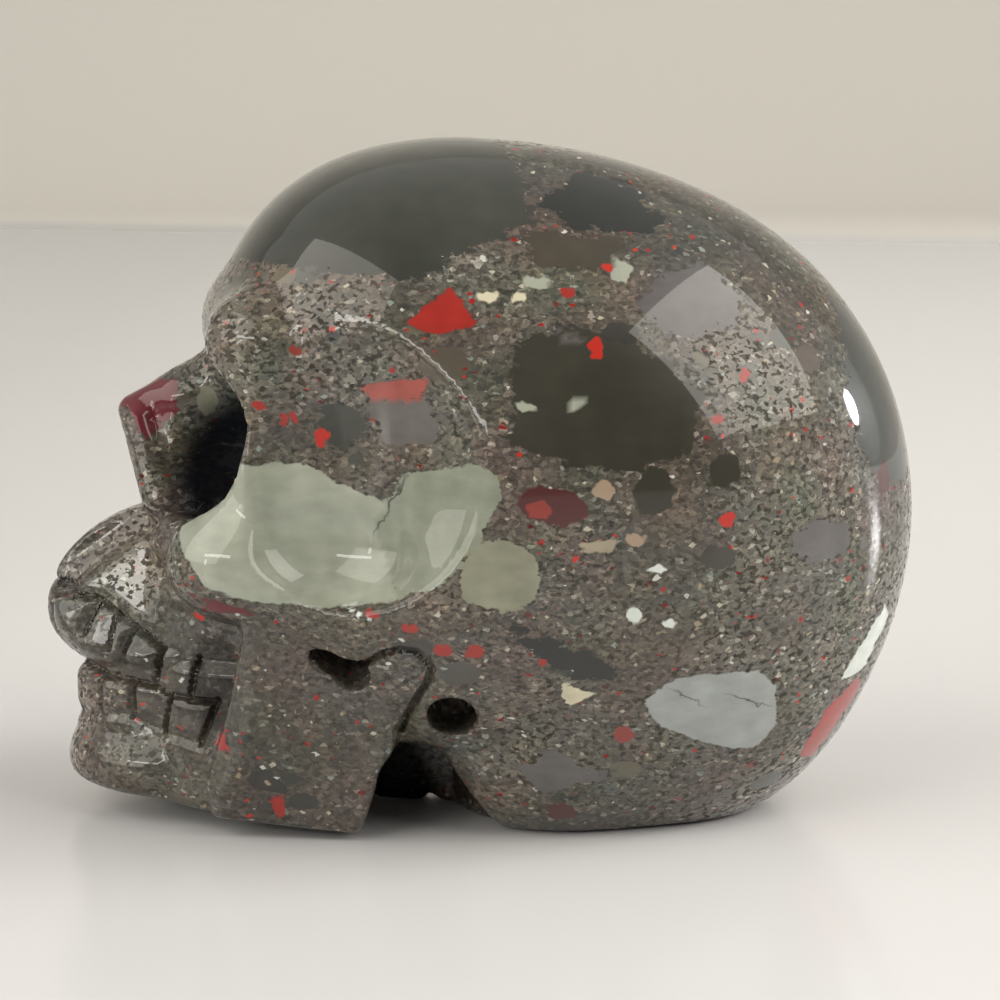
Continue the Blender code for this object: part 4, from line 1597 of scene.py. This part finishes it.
    def build(self) -> bpy.types.Material:
        """Make the material.

        Returns:
            The material, solid in the object's own coordinates.
        """
        material, graph, shader = fresh_material("bloodstone")
        place = graph.node("ShaderNodeTexCoord", None, None, "Object") * (1.0 / MM) + ORIGIN
        drift = graph.kept(DRIFT, "Vector")
        ragged = (graph.noise(place, self.ragged_size, 1.0, "Color") - HALF) * self.fine_warp
        bent = place + drift + ragged
        flat = (bent - drift * self.levelling) * (1.0, 1.0, self.flattening)
        cloud = graph.noise(place * (1.0, 1.0, self.cloud_flattening), self.cloud_size, 3.0)
        ripple = graph.noise(flat, self.ripple_size, 2.0)

        colour, loose = self._matrix(flat, bent, drift, cloud, ripple)
        colour, nearest = self._fragments(colour, place, cloud, ripple)
        colour, nearest = self._chips(colour, nearest, place + ragged * self.chip_warp)

        density = graph.kept(DENSITY, "Fac")
        rough = (density * self.rough_density + cloud * self.rough_cloud - self.rough_level).within()
        whole = nearest.inside(self.edge).at_least(loose)
        pitted = ((ripple - self.pit_level) * self.pit_slope).within() * rough * (1.0 - whole)
        graph.feed(shader.inputs["Base Color"], colour.shaded((1.0 - pitted * self.pit_shade) * self.gain))
        graph.feed(shader.inputs["Roughness"], pitted * self.pit_roughness + self.roughness)
        graph.feed(shader.inputs["Coat Weight"], 1.0 - pitted * self.pit_dullness)
        shader.inputs["Coat Roughness"].default_value = self.polish
        shader.inputs["Specular IOR Level"].default_value = self.under_gloss
        height = graph.noise(place * (1.0, 1.0, self.flattening), self.ripple_size, 2.0) * density
        relief = {"Strength": self.relief, "Distance": self.relief_depth * MM, "Height": height}
        graph.feed(shader.inputs["Normal"], graph.node("ShaderNodeBump", None, relief))

        # Painted shade: in the deep hollows the polished stone gives way to a dark, dull shader.
        painted_shade_shader = graph.node("ShaderNodeBsdfDiffuse", None, {"Color": self.hollow})
        surfaces = {0: graph.kept(PAINTED_HOLLOW_LIGHT, "Fac"), 1: painted_shade_shader, 2: Value(graph, shader.outputs["BSDF"])}
        surface = graph.node("ShaderNodeMixShader", None, surfaces)
        graph.feed(material.node_tree.nodes["Material Output"].inputs["Surface"], surface)
        return material


@dataclass(frozen=True)
class Backdrop:
    """One sheet, pale and glossy on the floor and duller on the wall, with a soft line between the two.

    Lengths are metres.
    """

    floor: Colour = srgb(219, 219, 220)
    wall: Colour = srgb(240, 236, 228)
    floor_roughness: float = 0.19
    wall_roughness: float = 0.9
    gloss: float = 0.35
    line_x: float = -1.125
    line_slope: float = 0.347
    line_softness: float = 0.16
    light_slope: float = 1.6
    light_middle: float = 1.08
    light_limits: Corner = (0.9, 1.12)
    wall_light: float = 1.04
    mottle: float = 0.05
    mottle_floor: float = 0.96
    mottle_size: float = 0.5
    near_edge: float = 2.2
    cove_start: float = -1.4
    cove: float = 0.5
    wall_height: float = 2.0
    half_width: float = 2.6

    def _paint(self) -> bpy.types.Material:
        """Make the sheet's material, with painted light that makes the floor paler towards the back of the skull, and
        faintly uneven.

        Returns:
            The material.
        """
        material, graph, shader = fresh_material("backdrop_paint")
        place = graph.node("ShaderNodeTexCoord", None, None, "Object")
        past_line = place.dot((1.0, -self.line_slope, 0.0)) - self.line_x
        wall = past_line.inside(self.line_softness).eased()
        mottle = graph.noise(place, self.mottle_size, 1.0)
        # Painted light: the floor's colour is brighter towards +Y, behind the skull, and darker towards -Y.
        across = (place.dot((0.0, self.light_slope, 0.0)) + self.light_middle).within(*self.light_limits)
        colour = graph.mix(self.floor, self.wall, wall).shaded(across + wall * (self.wall_light - across))
        graph.feed(shader.inputs["Base Color"], colour.shaded(mottle * self.mottle + self.mottle_floor))
        roughness = wall * (self.wall_roughness - self.floor_roughness) + self.floor_roughness
        graph.feed(shader.inputs["Roughness"], roughness)
        shader.inputs["Specular IOR Level"].default_value = self.gloss
        return material

    def build(self) -> bpy.types.Object:
        """Draw the sheet's profile along Y.

        Returns:
            The sheet.
        """
        steps = [math.radians(angle) for angle in range(0, 91, 6)]
        start, cove = self.cove_start, self.cove
        curve = [(start - cove * math.sin(step), cove * (1.0 - math.cos(step))) for step in steps]
        profile = [(self.near_edge, 0.0), *curve, (start - cove, self.wall_height)]
        shape = bmesh.new()
        near, far = [[shape.verts.new((x, y, z)) for x, z in profile] for y in (-self.half_width, self.half_width)]
        for index in range(len(profile) - 1):
            face = shape.faces.new((near[index], near[index + 1], far[index + 1], far[index]))
            face.smooth = True
        mesh = bpy.data.meshes.new("backdrop")
        shape.to_mesh(mesh)
        shape.free()
        mesh.materials.append(self._paint())
        return placed("backdrop", mesh)


@dataclass(frozen=True)
class Window:
    """A flat light that faces the skull: angles in degrees, size and distance in metres.

    One that isn't mirrored shows in no reflection.
    """

    name: str
    azimuth: float
    elevation: float
    size: Corner
    radiance: float
    tint: Colour
    away: float = 1.4
    height: float = 0.03
    rounded: bool = False
    mirrored: bool = True

    def build(self) -> bpy.types.Object:
        """Hang the light.

        Returns:
            The light's object.
        """
        lamp = bpy.data.lights.new(self.name, "AREA")
        lamp.shape = "ELLIPSE" if self.rounded else "RECTANGLE"
        lamp.size, lamp.size_y = self.size
        lamp.energy = self.radiance * math.pi * self.size[0] * self.size[1]
        lamp.color = self.tint
        body = placed(self.name, lamp)
        turn, rise = math.radians(self.azimuth), math.radians(self.elevation)
        direction = Vector((math.sin(turn) * math.cos(rise), -math.cos(turn) * math.cos(rise), math.sin(rise)))
        body.location = Vector((0.0, 0.0, self.height)) + direction * self.away
        body.rotation_euler = direction.to_track_quat("Z", "Y").to_euler()
        body.visible_glossy = self.mirrored
        return body


@dataclass(frozen=True)
class Stage:
    """Backdrop, windows, air and camera."""

    backdrop: Backdrop = Backdrop()
    windows: tuple[Window, ...] = (
        Window("window_right", 160.0, 40.0, (1.25, 1.24), 3.0, (1.0, 0.955, 0.88)),
        Window("window_left", 30.0, 31.0, (1.6, 1.26), 2.1, (1.0, 0.95, 0.86)),
        Window("window_back", 186.0, 20.0, (0.5, 0.45), 9.0, (1.0, 0.98, 0.95), mirrored=False),
        Window("strip_long", 56.0, 20.0, (0.9, 0.11), 7.0, (1.0, 0.97, 0.93)),
        Window("strip_short", 42.0, 9.0, (0.08, 0.22), 6.0, (1.0, 0.97, 0.93)),
        Window("glint_right", 202.0, 11.0, (0.13, 0.19), 30.0, (1.0, 1.0, 1.0), rounded=True),
    )
    # The light of the room, and the way to its bright side.
    bright_air: Colour = (0.54, 0.53, 0.505)
    dim_air: Colour = (0.15, 0.15, 0.15)
    air_way: Point = (-0.9, 0.0, 0.4)
    # The camera: aim and distance in design millimetres, lens and sensor in real ones, near limit in metres.
    aim: Point = (0.0, 1.86, 26.3)
    camera_away: float = 242.0
    camera_rise: float = math.radians(8.0)
    lens: float = 100.8
    sensor: float = 36.0
    near_limit: float = 0.01

    def _air(self) -> bpy.types.World:
        """Make the light of the room, which is dimmer on the camera's side.

        Returns:
            The world.
        """
        world = bpy.data.worlds.new("studio_air")
        world.use_nodes = True
        graph = Graph(world.node_tree)
        way = graph.node("ShaderNodeTexCoord", None, None, "Generated")
        air = graph.mix(self.dim_air, self.bright_air, (way.dot(self.air_way) + 0.5).within())
        graph.feed(world.node_tree.nodes["Background"].inputs["Color"], air)
        return world

    def _camera(self) -> bpy.types.Object:
        """Place the camera at the skull's left side, a little above it.

        Returns:
            The camera.
        """
        lens = bpy.data.cameras.new("camera")
        lens.lens = self.lens
        lens.sensor_width = self.sensor
        lens.clip_start = self.near_limit
        camera = placed("camera", lens)
        target = Vector([(value - zero) * MM for value, zero in zip(self.aim, ORIGIN)])
        away = Vector((math.cos(self.camera_rise), 0.0, math.sin(self.camera_rise)))
        camera.location = target + away * (self.camera_away * MM)
        camera.rotation_euler = away.to_track_quat("Z", "Y").to_euler()
        return camera

    def build(self) -> None:
        """Set up the backdrop, the windows, the air and the camera."""
        scene = bpy.context.scene
        self.backdrop.build()
        for window in self.windows:
            window.build()
        scene.world = self._air()
        scene.view_settings.view_transform = "Standard"
        scene.camera = self._camera()


def main() -> None:
    """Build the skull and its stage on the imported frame."""
    logging.basicConfig(level=logging.INFO, format="%(relativeCreated)d ms %(name)s: %(message)s")
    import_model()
    stone = Bloodstone()
    body = Skull().build(stone.build(), stone.mark)
    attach(body, "root")
    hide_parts("skull")
    LOG.info("%s: %d faces", body.name, len(body.data.polygons))
    Stage().build()
    LOG.info("stage: backdrop, windows, air and camera")
    bpy.context.view_layer.update()


if __name__ == "__main__":
    main()
